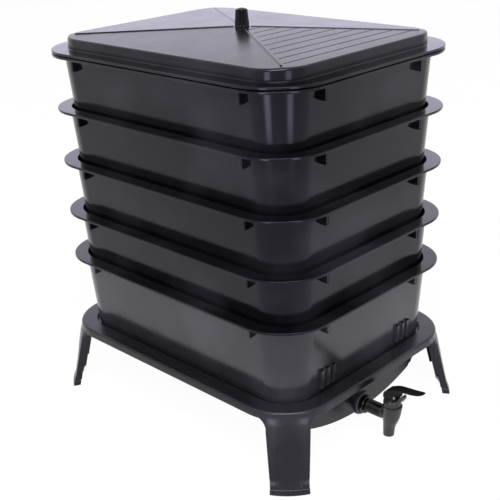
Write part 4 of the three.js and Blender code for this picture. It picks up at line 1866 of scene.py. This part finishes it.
        # Share of the full width by distance in front of the pin.
        plan = [(-30, 1.0), (3, 1.0), (12, 0.78), (30, 0.78)]
        plan += [(38, 0.71), (42, 0.58), (45, 0.34), (47, 0.12)]
        paddle = spline(back + front, 4) + spline(under + notch, 4)
        bm = bmesh.new()
        for side in (-1, 1):
            ends = sorted((side * self.lever_inside, side * self.lever_half))
            self.add_slab(bm, paddle + spline(hub, 3), ends, self.lever_rounding)
            ends = sorted((side * self.hub_inside, side * (self.lever_inside + self.hub_lap)))
            section = tube(self.pin_radius, self.hub_radius, *ends)
            turned(bm, section, along_x(self.pin_y, self.pin_z), PIN_TURN_STEPS)
        half = self.lever_inside + self.web_lap
        web = [(ahead, z - self.web_drop) for ahead, z in paddle + room]
        self.add_slab(bm, web, (-half, half), 0.0)
        for vert in bm.verts:
            ahead = self.pin_y - vert.co.y
            for (a, low), (b, high) in zip(plan, plan[1:]):
                if a <= ahead < b:
                    vert.co.x *= low + (high - low) * (ahead - a) / (b - a)
        node = "tap_lever"
        shop.finish(
            bm, "tap_thumb_lever", "lever", Finish.LEVER, "tap_plastic", [node], flip=False
        )


# Setting


@dataclass
class Setting:
    """Pale floor, soft studio light and the camera at the photograph's angle."""

    azimuth: float = -45.11
    elevation: float = 22.60
    roll: float = -2.42
    lens: float = 68.35
    sensor: float = 36.0
    distance: float = 1.4559
    target: tuple[float, float, float] = (-0.0015, 0.0015, 0.2319)
    clip: tuple[float, float] = (0.05, 50.0)
    lamp_aim: float = 0.35
    floor_size: float = 6.0
    floor_white: float = 0.96

    def build(self, stack_y: float) -> None:
        """Makes floor, world, lamps and camera.

        Args:
            stack_y: Place of the stack's axis along Y, in metres.
        """
        self.make_world()
        self.make_floor()
        self.make_lamps(stack_y)
        self.make_camera(stack_y)
        bpy.context.scene.view_settings.view_transform = "Standard"

    def white_share(self, tree: bpy.types.NodeTree) -> bpy.types.NodeSocket:
        """Share of rays that see plain white: camera, glossy and transmission rays.

        Args:
            tree: Node tree.

        Returns:
            The share, 0 or 1.
        """
        path = add_node(tree, "ShaderNodeLightPath")
        share = path.outputs["Is Camera Ray"]
        for kind in ("Is Glossy Ray", "Is Transmission Ray"):
            share = add_node(
                tree,
                "ShaderNodeMath",
                settings={"operation": "MAXIMUM"},
                links={0: share, 1: path.outputs[kind]},
            ).outputs[0]
        return share

    def make_world(self) -> None:
        """Makes the even studio surround."""
        world = bpy.data.worlds.new("studio")
        bpy.context.scene.world = world
        tree = empty_tree(world)
        links = {0: self.white_share(tree)}
        for index, (colour, strength) in enumerate((("#e8e8ec", 0.8), ("#ffffff", 1.0)), start=1):
            values = {"Color": linear(colour), "Strength": strength}
            links[index] = add_node(tree, "ShaderNodeBackground", values=values).outputs[0]
        mix = add_node(tree, "ShaderNodeMixShader", links=links)
        add_node(tree, "ShaderNodeOutputWorld", links={"Surface": mix.outputs[0]})

    def make_floor(self) -> None:
        """Makes the pale floor."""
        bm = bmesh.new()
        bmesh.ops.create_grid(bm, x_segments=1, y_segments=1, size=self.floor_size)
        mesh = bpy.data.meshes.new("floor")
        bm.to_mesh(mesh)
        bm.free()
        floor = bpy.data.objects.new("floor", mesh)
        bpy.context.scene.collection.objects.link(floor)
        # Matt paper: pale, takes the soft shadow, and stays near white to the eye.
        material = bpy.data.materials.new("pale studio floor")
        tree = empty_tree(material)
        matt = add_node(
            tree, "ShaderNodeBsdfDiffuse", values={"Color": linear("#f4f4f5"), "Roughness": 1.0}
        )
        glow = add_node(
            tree, "ShaderNodeEmission", values={"Color": linear("#ffffff"), "Strength": 1.0}
        )
        share = add_node(
            tree,
            "ShaderNodeMath",
            settings={"operation": "MULTIPLY"},
            values={1: self.floor_white},
            links={0: self.white_share(tree)},
        )
        links = {0: share.outputs[0], 1: matt.outputs[0], 2: glow.outputs[0]}
        mix = add_node(tree, "ShaderNodeMixShader", links=links)
        add_node(tree, "ShaderNodeOutputMaterial", links={"Surface": mix.outputs[0]})
        mesh.materials.append(material)
        floor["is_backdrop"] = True

    def make_lamps(self, stack_y: float) -> None:
        """Makes the soft boxes.

        Args:
            stack_y: Place of the stack's axis along Y, in metres.
        """
        aim = Vector((0, stack_y, self.lamp_aim))
        for name, spot, size, watts, colour in (
            ("far_box", (1.95, 1.95, 0.95), (3.2, 1.0), 8.0, "#bab4e8"),
            ("left_box", (-2.4, 0.9, 1.1), (0.5, 1.2), 2.0, "#ffffff"),
            ("front_box", (-1.1, -1.1, 1.9), (1.6, 0.9), 60.0, "#ffffff"),
            ("low_strip_left", (-1.13, -0.42, 0.26), (0.26, 0.48), 2.2, "#ffffff"),
            ("low_strip_right", (-0.42, -1.13, 0.26), (0.26, 0.48), 1.7, "#ffffff"),
        ):
            light = bpy.data.lights.new(name, "AREA")
            light.shape = "RECTANGLE"
            light.size, light.size_y = size
            light.energy = watts
            light.color = linear(colour)[:3]
            lamp = bpy.data.objects.new(name, light)
            lamp.location = spot
            lamp.rotation_mode = "QUATERNION"
            lamp.rotation_quaternion = (aim - Vector(spot)).to_track_quat("-Z", "Y")
            bpy.context.scene.collection.objects.link(lamp)

    def make_camera(self, stack_y: float) -> None:
        """Makes the camera.

        Args:
            stack_y: Place of the stack's axis along Y, in metres.
        """
        data = bpy.data.cameras.new("camera")
        data.lens = self.lens
        data.sensor_width = self.sensor
        data.clip_start, data.clip_end = self.clip
        camera = bpy.data.objects.new("camera", data)
        bpy.context.scene.collection.objects.link(camera)
        az, el, turn = (math.radians(a) for a in (self.azimuth, self.elevation, self.roll))
        back = Vector((math.sin(az) * math.cos(el), -math.cos(az) * math.cos(el), math.sin(el)))
        right = Vector((math.cos(az), math.sin(az), 0))
        up = back.cross(right)
        across = right * math.cos(turn) + up * math.sin(turn)
        upward = up * math.cos(turn) - right * math.sin(turn)
        camera.rotation_mode = "QUATERNION"
        axes = Matrix((across, upward, back)).transposed()
        camera.rotation_quaternion = axes.to_quaternion()
        camera.location = Vector(self.target) + Vector((0, stack_y, 0)) + back * self.distance
        bpy.context.scene.camera = camera


def dress_nodes(frame: dict, materials: dict[Finish, bpy.types.Material]) -> None:
    """Gives the carried CAD nodes their finishes.

    Args:
        frame: Loaded frame.
        materials: Material of each finish.
    """
    wanted = {
        "knob_washer": Finish.STEEL,
        "knob_screw": Finish.STEEL,
        "lever_pin": Finish.STEEL,
        "tap_nut": Finish.THREAD,
        # The rubber finish is partly painted highlight: lighter bluish grey than the rubber itself.
        "tap_inner_washer": Finish.RUBBER,
        "valve_stem": Finish.TAP,
        "valve_seat_cup": Finish.SILICONE,
    }
    for name, look in wanted.items():
        for slot in frame["nodes"][name].material_slots:
            slot.material = materials[look]


def main(frame: dict, cad_box: tuple[Vector, Vector]) -> None:
    """Builds the wormery and its setting.

    Args:
        frame: Loaded frame.
        cad_box: Lowest and highest corner of the CAD model; not used.
    """
    logging.basicConfig(level=logging.INFO, format="%(name)s %(message)s")
    low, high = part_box("tray_1")
    stack_y = (low[1] + high[1]) / 2
    shop = Workshop(stack_y)
    Setting().build(stack_y)
    # Body of each tray, and how deep under its rim the tray above rests, in millimetres.
    trays = [("top_tray", 39.8), ("second_tray", 39.8), ("third_tray", 39.8)]
    trays += [("fourth_tray", 39.8), ("lowest_tray", 47.0)]
    for number, (body, rest) in enumerate(trays, start=1):
        rim_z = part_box(f"tray_{number}")[1][2] / MM - Tray.rim
        Tray(number, body, rim_z, rest).build(shop)
    Lid(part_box("lid")[0][2] / MM + Lid.lip_depth).build(shop)
    Knob(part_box("lid_knob")[0][2] / MM).build(shop)
    Base().build(shop)
    Tap().build(shop)
    dress_nodes(frame, shop.materials)
    LOG.info("%d pieces", shop.count)


if __name__ == "__main__":
    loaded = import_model()
    main(loaded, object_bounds())
